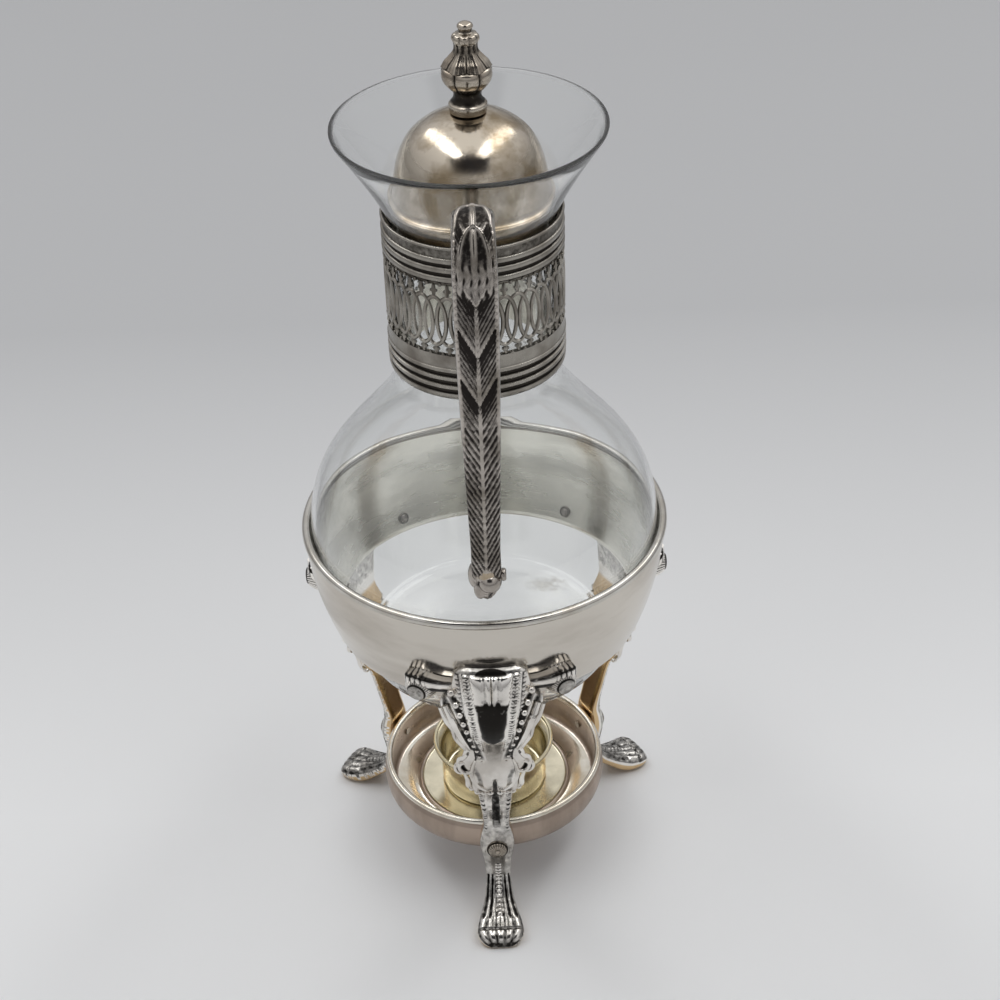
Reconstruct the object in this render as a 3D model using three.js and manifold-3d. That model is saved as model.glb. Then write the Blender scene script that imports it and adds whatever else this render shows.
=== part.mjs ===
// A glass coffee carafe with a pierced silver collar, a cast handle and a loose domed lid, standing in
// a three-legged silver warming stand with a candle cup below it.
// Sizes are in millimetres and +Z is up. The handle and the front leg point to -Y.
// The model stands on z = 0, centred in x and y over its own box.

import * as THREE from 'three';
import { mergeVertices } from 'three/addons/utils/BufferGeometryUtils.js';
import Module from 'manifold-3d';

const wasm = await Module();
wasm.setup();

// Fits and resolution
const gap = 0.3;                    // clearance between pieces that touch
const overrun = 4;                  // how far a cutting body runs past what it cuts
const bodySides = 36;               // sides of the large round pieces
const lidSides = 30;                // sides of the lid
const knobSides = 16;               // sides of the knob and other small turned pieces
const pinSides = 12;                // sides of rivets and screws
const wireSides = 6;                // sides of the bowl's rolled rim
const nutSides = 6;
const bellySteps = 4;               // stretches of the glass's curves
const shoulderSteps = 6;
const funnelSteps = 4;
const bowlSteps = 4;
const handleSteps = 24;

// Warming stand, heights above the table
const bowlTop = 153;
const bowlHeight = 41;
const bowlWall = 1.2;
const rimWire = 1.55;               // radius of the rolled rim wire
const rimSetOutShare = 0.25;        // of the wire, from the wall's middle
const trayRadius = 42.6;            // over the rolled rim
const trayTop = 38.5;
const trayDepth = 15;
const trayWall = 1.2;
const trayFloor = 1.5;
const trayBead = 1.2;               // radius of the tray's rolled rim
const trayTaper = 1.2;              // how far the tray's wall draws in towards its floor
const trayCorner = 2;
const ringRadius = 29.2;            // raised ring pressed in the tray's floor
const ringWidth = 1.8;
const ringHeight = 0.8;

// Legs
const legCount = 3;
const legLap = 21;                  // how far the legs reach up over the bowl's side
const legHalfWidth = 19.6;          // at the winged bracket
const legDepth = 14.6;               // of the leg's curve, from its ankle to its knee
const footReach = 71.4;
const footHalfWidth = 8.9;
const ankleHeight = 19;
const ankleProud = 5.9;             // the ankle's face, beyond the tray's rim
const wingProud = 6;                // how far the wings stand out from the bowl
const wingHeight = 14;
const wingBelowShare = 0.3;         // of the wing's height, below the rivets
const wingAngle = THREE.MathUtils.degToRad(28);
const bossRadius = 5.2;             // flat scroll disc at the end of each wing
const bossProud = 1;                // beyond the wing
const rivetAngle = THREE.MathUtils.degToRad(26);
const rivetAboveEdge = 5;
const rivetRadius = 1.4;
const rivetLength = 4.5;            // from the bowl's outer wall into the leg
const rivetHeadRadius = 2.3;
const rivetHeadHeight = 0.9;
const rosetteRadius = 4;
const rosetteHeight = 1.4;
const trayScrewRadius = 1.5;
const trayScrewEnd = 1;             // the peened end inside the tray

// Candle cup
const cupRadius = 20.6;
const cupLipRadius = 23.7;
const cupHeight = 19.2;
const cupWall = 1;
const cupLipHeight = 4;             // height of the flared lip
const cupCorner = 1.4;
const cupLipWire = 0.9;             // radius of the rolled edge

// Glass carafe
const glassWall = 2;
const glassBase = 3;                // thickness of the bottom
const bellyRadius = 63.3;
const bellyHeight = 53.8;           // of the widest ring, above the base
const bellyBelowRim = 5;            // the widest ring's depth under the bowl's top
const baseRadius = 40;              // of the flat bottom
const baseCornerWidth = 6;
const baseCornerHeight = 1.8;
const shoulderHeight = 66;          // from the widest ring to the neck
const neckRadius = 27.7;
const neckHeight = 56;
const mouthRadius = 45.2;
const funnelHeight = 36.2;
const lipHeight = 1.4;
const seatGapTop = 0.8;             // between belly and bowl, at the bowl's top
const seatGapBottom = 1.7;          // the same at its lower edge, where the rivet heads are

// Neck collar
const collarAboveNeck = 5.2;        // its lower edge, above the bottom of the neck
const collarPastNeck = 6.4;         // its upper edge, above the top of the neck
const collarWeb = 1.9;              // thickness of the pierced band
const upperBandHeight = 14;
const lowerBandHeight = 17;
const ridgeCount = 4;               // on each band
const ridgeDepth = 0.7;
const latticeCount = 38;            // arches round the collar
const lugReach = 8;                 // how far the clamp lugs stand out
const lugWall = 1.6;
const lugHeight = 22;
const lugBottomAboveLattice = 2;

// Handle, in the plane x = 0
const tongueWidth = 4.4;
const handleReach = 84;             // centre line, from the carafe's axis
const handleRise = 67.5;            // highest point of its centre line, above the lugs' bottom
const handleDrop = 129.5;           // from there down to the scroll
const handleHalfWidth = 6.9;
const handleThickness = 6;
const scrollRadius = 4.6;
const scrollHalfLength = 5.9;
const clampRadius = 1.5;
const clampHeadRadius = 2.7;
const clampHeadHeight = 2;
const clampTail = 1;                // thread showing past the nut
const nutRadius = 3.1;              // across the corners
const nutHeight = 2.4;

// Lid
const lidWall = 1.2;
const flangeProud = 3.1;            // the dome's flange, beyond the bezel
const domeHeight = 29.5;
const domeTopRadius = 5;
const bezelClearance = 0.4;         // round the bezel in the neck
const bezelWall = 1;
const bezelDepth = 12.5;
const bezelRise = 3;                // how far it stands up inside the dome
const finialHeight = 30;
const finialRadius = 8.6;
const studRadius = 1.5;
const studLength = 5.2;

// Finishes
const silver = new THREE.MeshStandardMaterial({ color: 0xb9b5ad, roughness: 0.3, metalness: 1 });
const darkSilver = new THREE.MeshStandardMaterial({ color: 0x77736c, roughness: 0.4, metalness: 1 });
const castSilver = new THREE.MeshStandardMaterial({ color: 0x8d8981, roughness: 0.35, metalness: 1 });
const yellowSilver = new THREE.MeshStandardMaterial({ color: 0xcbbd93, roughness: 0.25, metalness: 1 });
const clearGlass = new THREE.MeshStandardMaterial({
  color: 0xe6ecec, roughness: 0.03, metalness: 0, transparent: true, opacity: 0.35,
});
const steel = new THREE.MeshStandardMaterial({ color: 0x9a9a98, roughness: 0.45, metalness: 1 });

// Places that several pieces share. Those of the carafe are above its own base.
const bowlBottom = bowlTop - bowlHeight;
const legTop = bowlBottom + legLap;
const bellyZ = bowlTop - bellyBelowRim;
const carafeZ = bellyZ - bellyHeight;
const trayBottom = trayTop - trayDepth;
const cupZ = trayBottom + trayFloor + gap;
const wallTop = bowlTop - 2 * rimWire - gap;
const rosetteZ = trayBottom + trayDepth / 2;
const ankleRadius = trayRadius + ankleProud;
const neckBottom = bellyHeight + shoulderHeight;
const neckTop = neckBottom + neckHeight;
const mouthHeight = neckTop + funnelHeight;
const collarRadius = neckRadius + gap + collarWeb + ridgeDepth;
const collarBottom = neckBottom + collarAboveNeck;
const collarTop = neckTop + collarPastNeck;
const bezelRadius = neckRadius - glassWall - bezelClearance;
const flangeRadius = bezelRadius + flangeProud;

const model = new THREE.Group();
const stand = new THREE.Group();
const carafe = new THREE.Group();
const lid = new THREE.Group();
const cup = new THREE.Group();
model.add(stand, carafe, cup);
carafe.add(lid);
carafe.position.z = carafeZ;
cup.position.z = cupZ;

function addPiece(group, name, solid, material) {
  const mesh = new THREE.Mesh(toGeometry(solid), material);
  mesh.name = name;
  group.add(mesh);
}

// A closed geometry as a solid: vertices merged, slivers dropped and the faces turned outwards.
function toSolid(source) {
  const bare = source.index ? source.toNonIndexed() : source.clone();
  bare.deleteAttribute('normal');
  bare.deleteAttribute('uv');
  const merged = mergeVertices(bare);
  const corner = merged.index.array;
  const triangles = [];
  let volume = 0;
  const [a, b, c] = [new THREE.Vector3(), new THREE.Vector3(), new THREE.Vector3()];
  for (let i = 0; i < corner.length; i += 3) {
    const [p, q, r] = [corner[i], corner[i + 1], corner[i + 2]];
    if (p !== q && q !== r && r !== p) {
      triangles.push(p, q, r);
      a.fromBufferAttribute(merged.attributes.position, p);
      b.fromBufferAttribute(merged.attributes.position, q);
      c.fromBufferAttribute(merged.attributes.position, r);
      volume += a.dot(b.cross(c));
    }
  }
  if (volume < 0) {
    triangles.reverse();
  }
  return new wasm.Manifold(new wasm.Mesh({
    numProp: 3,
    vertProperties: merged.attributes.position.array,
    triVerts: new Uint32Array(triangles),
  }));
}

function toGeometry(solid) {
  const mesh = solid.getMesh();
  const geometry = new THREE.BufferGeometry();
  geometry.setAttribute('position', new THREE.BufferAttribute(mesh.vertProperties, mesh.numProp));
  geometry.setIndex(new THREE.BufferAttribute(mesh.triVerts, 1));
  geometry.computeVertexNormals();
  return geometry;
}

// A turned solid: [radius, height] points spun about Z. The outline ends on the axis or closes on itself.
function turned(outline, sides) {
  const points = outline.map(([radius, height]) => new THREE.Vector2(radius, height));
  const geometry = new THREE.LatheGeometry(points, sides);
  return toSolid(geometry.rotateX(Math.PI / 2));
}

function ringOutline(outer, inner) {
  return [...outer, ...inner, outer[0]];
}

function extruded(points, depth) {
  const shape = new THREE.Shape(points.map(([x, y]) => new THREE.Vector2(x, y)));
  return new THREE.ExtrudeGeometry(shape, { depth, bevelEnabled: false });
}

// A plate whose outline is [reach towards -Y, height], with its thickness along X.
function sidePlate(outline, halfWidth) {
  const geometry = extruded(outline, 2 * halfWidth).translate(0, 0, -halfWidth);
  return toSolid(geometry.rotateX(Math.PI / 2).rotateZ(-Math.PI / 2));
}

// A prism whose outline is [x, height], running from the axis towards -Y.
function frontPrism(outline, reach) {
  return toSolid(extruded(outline, reach).rotateX(Math.PI / 2));
}

// A prism whose outline is [x, reach towards -Y], standing on a given height.
function planPrism(outline, height) {
  return toSolid(extruded(outline.map(([x, reach]) => [x, -reach]), height));
}

function mirrored(halfOutline) {
  return [...halfOutline, ...halfOutline.map(([x, z]) => [-x, z]).reverse()];
}

function box(x, y, z) {
  return toSolid(new THREE.BoxGeometry(x, y, z));
}

function bar(radius, length, sides = pinSides) {
  return toSolid(new THREE.CylinderGeometry(radius, radius, length, sides));
}

function quarterTurns(solid, x, y, z) {
  return solid.rotate([90 * x, 90 * y, 90 * z]);
}

function bezier(points, steps) {
  const [a, b, c, d] = points.map(([x, y]) => new THREE.Vector2(x, y));
  return new THREE.CubicBezierCurve(a, b, c, d).getPoints(steps).map((p) => [p.x, p.y]);
}

function between(start, end, share) {
  return start + (end - start) * share;
}

// An outline's copy, moved sideways by a distance to the left of its run.
function offset(outline, distance) {
  return outline.map((point, i) => {
    const before = outline[Math.max(i - 1, 0)];
    const after = outline[Math.min(i + 1, outline.length - 1)];
    const run = [after[0] - before[0], after[1] - before[1]];
    const length = Math.hypot(...run);
    return [point[0] - (distance * run[1]) / length, point[1] + (distance * run[0]) / length];
  });
}

// The radius of an outline at a height
function radiusAt(outline, height) {
  for (let i = 1; i < outline.length; i += 1) {
    const [[r0, z0], [r1, z1]] = [outline[i - 1], outline[i]];
    if (z0 <= height && height <= z1 && z1 > z0) {
      return between(r0, r1, (height - z0) / (z1 - z0));
    }
  }
  return outline[outline.length - 1][0];
}

// The height at which an outline that widens at its top has a radius
function heightAt(outline, radius) {
  for (let i = outline.length - 1; i > 0; i -= 1) {
    const [[r0, z0], [r1, z1]] = [outline[i - 1], outline[i]];
    if (r0 <= radius && radius <= r1 && r1 > r0) {
      return between(z0, z1, (radius - r0) / (r1 - r0));
    }
  }
  return outline[outline.length - 1][1];
}

// Glass: flat bottom, pear-shaped belly, straight neck and funnel mouth
const lowerBellyShares = [[0.66, 0.335], [1, 0.786]];
const shoulderShares = [[0, 0.506], [0.496, 0.553]];
const funnelShares = [[0, 0.26], [0.66, 0.73]];
const lipShare = 0.45;
const bottomEdge = [baseRadius + baseCornerWidth, baseCornerHeight];
const lowerBelly = bezier([
  bottomEdge,
  ...lowerBellyShares.map(([r, z]) => [
    between(bottomEdge[0], bellyRadius, r), between(bottomEdge[1], bellyHeight, z)]),
  [bellyRadius, bellyHeight],
], bellySteps);
const shoulder = bezier([
  [bellyRadius, bellyHeight],
  ...shoulderShares.map(([r, z]) => [
    between(bellyRadius, neckRadius, r), between(bellyHeight, neckBottom, z)]),
  [neckRadius, neckBottom],
], shoulderSteps);
const lipInner = mouthRadius - glassWall * lipShare;
const funnel = bezier([
  [neckRadius, neckTop],
  ...funnelShares.map(([r, z]) => [
    between(neckRadius, mouthRadius, r), between(neckTop, mouthHeight - lipHeight, z)]),
  [mouthRadius, mouthHeight - lipHeight],
], funnelSteps);
const glassOutside = [...lowerBelly, ...shoulder.slice(1), ...funnel];
const glassInside = offset(glassOutside, glassWall).filter(([, z]) => z > glassBase);

function makeGlass() {
  const insideFoot = [glassInside[0][0] - glassWall, glassBase];
  const outline = [
    [0, 0], [baseRadius, 0], ...glassOutside,
    [lipInner, mouthHeight],
    ...[...glassInside].reverse(), insideFoot, [0, glassBase],
  ];
  addPiece(carafe, 'glass_carafe', turned(outline, bodySides), clearGlass);
}

// Collar: ridged bands above and below a lattice of crossing arches, open behind the handle
const latticeBottom = collarBottom + lowerBandHeight;
const latticeTop = collarTop - upperBandHeight;
const latticeHeight = latticeTop - latticeBottom;
const funnelSeatShare = 0.4;        // where the collar's flared seat bends
const pitch = (2 * Math.PI) / latticeCount;
const arcPitch = collarRadius * pitch;
const slitWidth = tongueWidth + 2 * gap;
const lugBottom = latticeBottom + lugBottomAboveLattice;
const lugEnd = collarRadius + lugReach;
const clampReach = collarRadius + lugReach / 2;
const clampShares = [0.75, 0.25];
const clampNames = ['upper', 'lower'];

// The openings of one arch: shares of the pitch from its middle, and of the lattice's height
const openingShares = [
  [[-0.3, 0.03], [0.3, 0.03], [0, 0.18]],
  [[0, 0.24], [0.24, 0.44], [0.24, 0.58], [0, 0.78], [-0.24, 0.58], [-0.24, 0.44]],
  [[0, 0.84], [0.3, 0.97], [-0.3, 0.97]],
];

function ridgedBand(bottom, height) {
  const step = height / ridgeCount;
  const points = [];
  for (let i = 0; i < ridgeCount; i += 1) {
    points.push([collarRadius - ridgeDepth, bottom + i * step]);
    points.push([collarRadius, bottom + (i + 0.5) * step]);
  }
  points.push([collarRadius - ridgeDepth, bottom + height]);
  return points;
}

function makeCollar() {
  const outside = [
    ...ridgedBand(collarBottom, lowerBandHeight), ...ridgedBand(latticeTop, upperBandHeight)];
  const webInside = neckRadius + gap;
  const inside = [collarTop, between(neckTop, collarTop, funnelSeatShare), neckTop]
    .map((z) => [radiusAt(glassOutside, z) + gap, z]);
  inside.push([webInside, collarBottom]);
  let solid = turned(ringOutline(outside, inside), latticeCount);
  const reach = collarRadius + overrun;
  const lugAngle = (slitWidth / 2 + lugWall) / collarRadius;
  for (const opening of openingShares) {
    const outline = opening.map(([u, w]) => [u * arcPitch, latticeBottom + w * latticeHeight]);
    const cutter = frontPrism(outline, reach);
    for (let i = 0; i < latticeCount; i += 1) {
      const turn = (i + 0.5) * pitch;
      if (Math.min(turn, 2 * Math.PI - turn) > lugAngle + pitch / 2) {
        solid = solid.subtract(cutter.rotate([0, 0, THREE.MathUtils.radToDeg(turn)]));
      }
    }
  }
  for (const side of [-1, 1]) {
    const lug = box(lugWall, lugEnd - webInside - gap, lugHeight).translate([
      side * (slitWidth + lugWall) / 2, -(lugEnd + webInside + gap) / 2, lugBottom + lugHeight / 2]);
    solid = solid.add(lug);
  }
  const slit = box(slitWidth, reach, collarTop - collarBottom + overrun)
    .translate([0, -reach / 2 - overrun, (collarBottom + collarTop) / 2]);
  solid = solid.subtract(slit).subtract(clampHoles());
  addPiece(carafe, 'neck_collar', solid, darkSilver);
}

function clampPlace(share) {
  return [0, -clampReach, lugBottom + lugHeight * share];
}

function clampHoles() {
  const length = 2 * (slitWidth + 2 * lugWall + overrun);
  const holes = clampShares.map((share) => (
    quarterTurns(bar(clampRadius + gap, length), 0, 0, 1).translate(clampPlace(share))));
  return holes[0].add(holes[1]);
}

function makeClampScrews() {
  const face = slitWidth / 2 + lugWall + gap;
  const shankEnd = -(face + nutHeight + clampTail);
  clampShares.forEach((share, i) => {
    const head = quarterTurns(bar(clampHeadRadius, clampHeadHeight), 0, 0, 1)
      .translate([face + clampHeadHeight / 2, 0, 0]);
    const shank = quarterTurns(bar(clampRadius, face + clampHeadHeight / 2 - shankEnd), 0, 0, 1)
      .translate([(face + clampHeadHeight / 2 + shankEnd) / 2, 0, 0]);
    const screw = head.add(shank).translate(clampPlace(share));
    addPiece(carafe, `clamp_screw_${clampNames[i]}`, screw, steel);
    const nut = bar(nutRadius, nutHeight, nutSides)
      .subtract(bar(clampRadius + gap, nutHeight + overrun));
    const place = clampPlace(share);
    place[0] = -(face + nutHeight / 2);
    addPiece(carafe, `clamp_nut_${clampNames[i]}`, quarterTurns(nut, 0, 0, 1).translate(place), steel);
  });
}

// Handle: a tongue between the lugs, a loop over the top and a long blade down to a free scroll.
// The line has shares of the way from the lugs' ends to the reach, and of the drop from its highest point.
const handleLineShares = [
  [0.075, 0.36], [0.158, 0.235], [0.352, 0.075], [0.584, 0], [0.815, 0.055],
  [0.954, 0.22], [1, 0.42], [0.978, 0.66], [0.908, 0.86], [0.843, 1],
];
const handleWidthShares = [
  [0.55, -0.028], [0.8, -0.016], [0.94, 0.02], [1, 0.1], [0.98, 0.25],
  [0.88, 0.5], [0.76, 0.72], [0.69, 0.86], [0.7, 0.98], [0.45, 1.045],
];
const bladeRootShare = 0.97;
const bladeTipShare = 0.75;

function makeHandle() {
  const heightDown = (share) => lugBottom + handleRise - share * handleDrop;
  const place = ([r, z]) => new THREE.Vector2(between(lugEnd, handleReach, r), heightDown(z));
  const line = new THREE.SplineCurve(handleLineShares.map(place)).getPoints(handleSteps);
  const centre = line.map((p) => [p.x, p.y]);
  const half = centre.map((_, i) => (handleThickness / 2)
    * between(bladeRootShare, bladeTipShare, i / (centre.length - 1)));
  const outer = centre.map((point, i) => offset(centre, half[i])[i]);
  const inner = centre.map((point, i) => offset(centre, -half[i])[i]);
  const tongueBottom = lugBottom + gap;
  const tongueTop = lugBottom + lugHeight - gap;
  const tongueEnd = collarRadius + gap;
  const root = [[tongueEnd, tongueBottom], [tongueEnd, tongueTop], [lugEnd + gap, tongueTop]];
  const side = sidePlate([...root, ...outer, ...inner.reverse()], handleHalfWidth + overrun);
  const widths = handleWidthShares.map(([w, z]) => [w * handleHalfWidth, heightDown(z)]);
  let solid = side.intersect(frontPrism(mirrored(widths), handleReach + overrun));
  for (const sign of [-1, 1]) {
    const cheek = box(handleHalfWidth, lugEnd + gap, handleDrop).translate([
      sign * (tongueWidth + handleHalfWidth) / 2, -(lugEnd + gap) / 2, lugBottom]);
    solid = solid.subtract(cheek);
  }
  const tip = centre[centre.length - 1];
  const scroll = quarterTurns(bar(scrollRadius, 2 * scrollHalfLength), 0, 0, 1)
    .translate([0, -tip[0], tip[1]]);
  solid = solid.add(scroll).subtract(clampHoles());
  addPiece(carafe, 'handle', solid, darkSilver);
}

// Lid: domed shell with a turned-out flange, a skirt below it and a knob on top
const domeShares = [
  [1, 0], [1, 0.03], [0.96, 0.1], [0.91, 0.25], [0.852, 0.47], [0.78, 0.65], [0.66, 0.8], [0.4, 0.95],
];
const finialShares = [
  [0.6, 0], [0.72, 0.03], [0.72, 0.08], [0.56, 0.15], [0.56, 0.23], [0.76, 0.3], [0.97, 0.37],
  [1, 0.46], [0.84, 0.56], [0.5, 0.65], [0.4, 0.7], [0.47, 0.76], [0.44, 0.82], [0.24, 0.855],
  [0.3, 0.9], [0.28, 0.96],
];

function makeLid() {
  lid.position.z = heightAt(glassInside, flangeRadius + gap);
  const outside = domeShares.map(([r, z]) => [r * flangeRadius, z * domeHeight]);
  outside.push([domeTopRadius, domeHeight]);
  const holeRadius = studRadius + gap;
  const inside = offset(outside.slice(2), lidWall).reverse();
  inside[0] = [holeRadius, domeHeight - lidWall];
  const seatInside = [inside[inside.length - 1][0], 0];
  const domeOutline = ringOutline([...outside, [holeRadius, domeHeight]], [...inside, seatInside]);
  const dome = turned(domeOutline, lidSides);
  addPiece(lid, 'lid_dome', dome, silver);

  const bezelInner = bezelRadius - bezelWall;
  const bezel = turned([
    [bezelRadius, -bezelDepth], [bezelRadius, bezelRise - bezelWall], [bezelInner, bezelRise],
    [bezelInner, -bezelDepth], [bezelRadius, -bezelDepth],
  ], lidSides);
  addPiece(lid, 'lid_bezel', bezel, silver);

  const knob = turned([
    [0, 0], ...finialShares.map(([r, z]) => [r * finialRadius, z * finialHeight]), [0, finialHeight],
  ], knobSides);
  const stud = quarterTurns(bar(studRadius, studLength + overrun), 1, 0, 0)
    .translate([0, 0, (overrun - studLength) / 2]);
  const finial = knob.add(stud).translate([0, 0, domeHeight + gap]);
  addPiece(lid, 'lid_finial', finial, silver);

  const nut = bar(nutRadius, nutHeight, nutSides).subtract(bar(holeRadius, nutHeight + overrun));
  const nutTop = domeHeight - lidWall - gap;
  addPiece(lid, 'finial_nut', quarterTurns(nut, 1, 0, 0).translate([0, 0, nutTop - nutHeight / 2]), steel);
}

// Bowl: an open-bottomed ring that follows the belly
const bowlHeights = Array.from(
  { length: bowlSteps + 1 }, (_, i) => between(bowlBottom, wallTop, i / bowlSteps));

function seatGap(z) {
  return between(seatGapBottom, seatGapTop, (z - bowlBottom) / (wallTop - bowlBottom));
}

function bowlInner(z) {
  return radiusAt(glassOutside, z - carafeZ) + seatGap(z);
}

function bowlOuter(z) {
  return bowlInner(z) + bowlWall;
}

// The wall's slope as an angle from upright, where the rivets are
const rivetZ = bowlBottom + rivetAboveEdge;
const rivetTilt = Math.atan2(
  bowlInner(rivetZ + rivetAboveEdge) - bowlInner(rivetZ - rivetAboveEdge), 2 * rivetAboveEdge);

// A bar along the wall's normal at the rivets' height, from one depth to another past the outer wall
function wallBar(radius, start, end) {
  return bar(radius, end - start)
    .translate([0, -(start + end) / 2, 0])
    .rotate([THREE.MathUtils.radToDeg(rivetTilt), 0, 0])
    .translate([0, -bowlOuter(rivetZ), rivetZ]);
}

function rivetPlaces() {
  const places = [];
  for (let leg = 0; leg < legCount; leg += 1) {
    for (const side of [-1, 1]) {
      places.push(THREE.MathUtils.radToDeg((leg * 2 * Math.PI) / legCount + side * rivetAngle));
    }
  }
  return places;
}

function makeBowl() {
  const outside = bowlHeights.map((z) => [bowlOuter(z), z]);
  const inside = bowlHeights.map((z) => [bowlInner(z), z]).reverse();
  let solid = turned(ringOutline(outside, inside), bodySides);
  const hole = wallBar(rivetRadius + gap, -bowlWall - overrun, overrun);
  for (const place of rivetPlaces()) {
    solid = solid.subtract(hole.rotate([0, 0, place]));
  }
  addPiece(stand, 'warmer_bowl', solid, silver);

  const rimRadius = (bowlOuter(wallTop) + bowlInner(wallTop)) / 2 + rimWire * rimSetOutShare;
  const rim = new THREE.TorusGeometry(rimRadius, rimWire, wireSides, bodySides).rotateZ(Math.PI / 2);
  addPiece(stand, 'bowl_rim', toSolid(rim).translate([0, 0, bowlTop - rimWire]), silver);

  rivetPlaces().forEach((place, i) => {
    const headStart = -bowlWall - gap;
    const head = wallBar(rivetHeadRadius, headStart - rivetHeadHeight, headStart);
    const shank = wallBar(rivetRadius, headStart - rivetHeadHeight / 2, rivetLength);
    addPiece(stand, `bowl_rivet_${i + 1}`, head.add(shank).rotate([0, 0, place]), castSilver);
  });
}

// Tray and the clearance that the legs keep round it
const trayBeadCentre = [trayRadius - trayBead, trayTop - trayBead];
const trayWallOuter = trayRadius - trayBead + trayWall / 2;
const trayWallTop = trayTop - 2 * trayBead;
const beadShares = [-0.25, 0.1, 0.5, 0.9, 1.25];   // half turns round the bead

function trayOutside() {
  return [
    [trayWallOuter - trayTaper - trayCorner, trayBottom],
    [trayWallOuter - trayTaper, trayBottom + trayCorner],
    [trayWallOuter, trayWallTop],
  ];
}

function trayBeadPoints() {
  return beadShares.map((share) => [
    trayBeadCentre[0] + trayBead * Math.cos(share * Math.PI),
    trayBeadCentre[1] + trayBead * Math.sin(share * Math.PI),
  ]);
}

function makeTray() {
  const floorTop = trayBottom + trayFloor;
  const wallInner = trayWallOuter - trayWall;
  const outline = [
    [0, trayBottom], ...trayOutside(), ...trayBeadPoints(),
    [wallInner, trayWallTop],
    [wallInner - trayTaper, floorTop + trayCorner], [wallInner - trayTaper - trayCorner, floorTop],
    [ringRadius + ringWidth / 2, floorTop], [ringRadius, floorTop + ringHeight],
    [ringRadius - ringWidth / 2, floorTop], [0, floorTop],
  ];
  let solid = turned(outline, bodySides);
  const reach = trayRadius + overrun;
  const hole = bar(trayScrewRadius + gap, reach).translate([0, -reach / 2, rosetteZ]);
  for (let leg = 0; leg < legCount; leg += 1) {
    const start = hole.intersect(box(reach, reach, reach).translate([0, -trayRadius, rosetteZ]));
    solid = solid.subtract(start.rotate([0, 0, (360 * leg) / legCount]));
  }
  addPiece(stand, 'candle_tray', solid, silver);
}

// Legs: a cabriole outline seen from the side, cut by its outline seen from the front.
// Each row has a share of the leg's depth, from the straight line between the tray's rim and the bowl's
// lower edge, and a height, from 0 at the tray's bottom to 1 at the bowl's lower edge and 2 at the leg's top.
const legFaceShares = [
  [0.4, -0.07], [0.4, 0.01], [0.44, 0.05], [0.37, 0.12], [0.18, 0.17], [0.1, 0.24], [0.126, 0.304],
  [0.196, 0.364], [0.33, 0.43], [0.44, 0.52], [0.484, 0.616], [0.571, 0.729], [0.637, 0.853],
  [0.645, 0.955], [0.66, 1.253], [0.64, 1.667], [0.52, 2],
];
const legBackShares = [
  [-1.5, 2], [-1.5, 1.042], [0.03, 1.042], [0.165, 0.965], [0.32, 0.86], [0.291, 0.729],
  [0.224, 0.616], [0.18, 0.52], [0.046, 0.424], [-0.05, 0.35], [-0.11, 0.28], [-0.11, 0.19],
  [-0.47, 0.17], [-0.3, 0], [0.11, -0.02], [0.11, -0.07],
];
const legWidthShares = [
  [1, 2.3], [1, 1.295], [0.79, 0.965], [0.75, 0.86], [0.62, 0.79], [0.73, 0.75], [0.72, 0.69],
  [0.56, 0.64], [0.52, 0.53], [0.5, 0.49], [0.36, 0.46], [0.32, 0.4], [0.27, 0.31], [0.25, 0.24],
  [0.28, 0.175], [0.34, 0.125], [0.34, 0.07], [0.27, 0.01], [0.24, -0.1],
];
// The foot's side outline: shares of its length from the ankle, and of the ankle's height
const footSideShares = [
  [-0.01, 1.1], [0, 0.9], [0.07, 0.74], [0.28, 0.5], [0.59, 0.36], [0.85, 0.285], [0.97, 0.19], [1, 0.08],
  [0.965, 0], [0.52, 0], [0.3, 0.17], [0.08, 0.39], [-0.08, 0.66], [-0.17, 0.9], [-0.18, 1.1],
];
// Its outline from above: shares of its half width, and of its length
const footPlanShares = [
  [0.52, -0.4], [0.53, 0], [0.58, 0.08], [0.71, 0.3], [0.91, 0.54], [1, 0.7], [1, 0.84], [0.8, 0.95],
  [0.4, 1.02],
];
const wingShares = [[0.2, 0.02], [0.8, 0.14], [1, 0.5], [0.9, 0.82], [0.3, 1]];
const rosetteSeatShare = 0.497;     // the leg's face under the rosette, in the leg's own shares

function legHeight(share) {
  return share > 1 ? between(bowlBottom, legTop, share - 1) : between(trayBottom, bowlBottom, share);
}

function legPoint([share, z]) {
  const base = between(trayRadius, bowlOuter(bowlBottom), THREE.MathUtils.clamp(z, 0, 1));
  return [base + share * legDepth, legHeight(z)];
}

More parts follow.
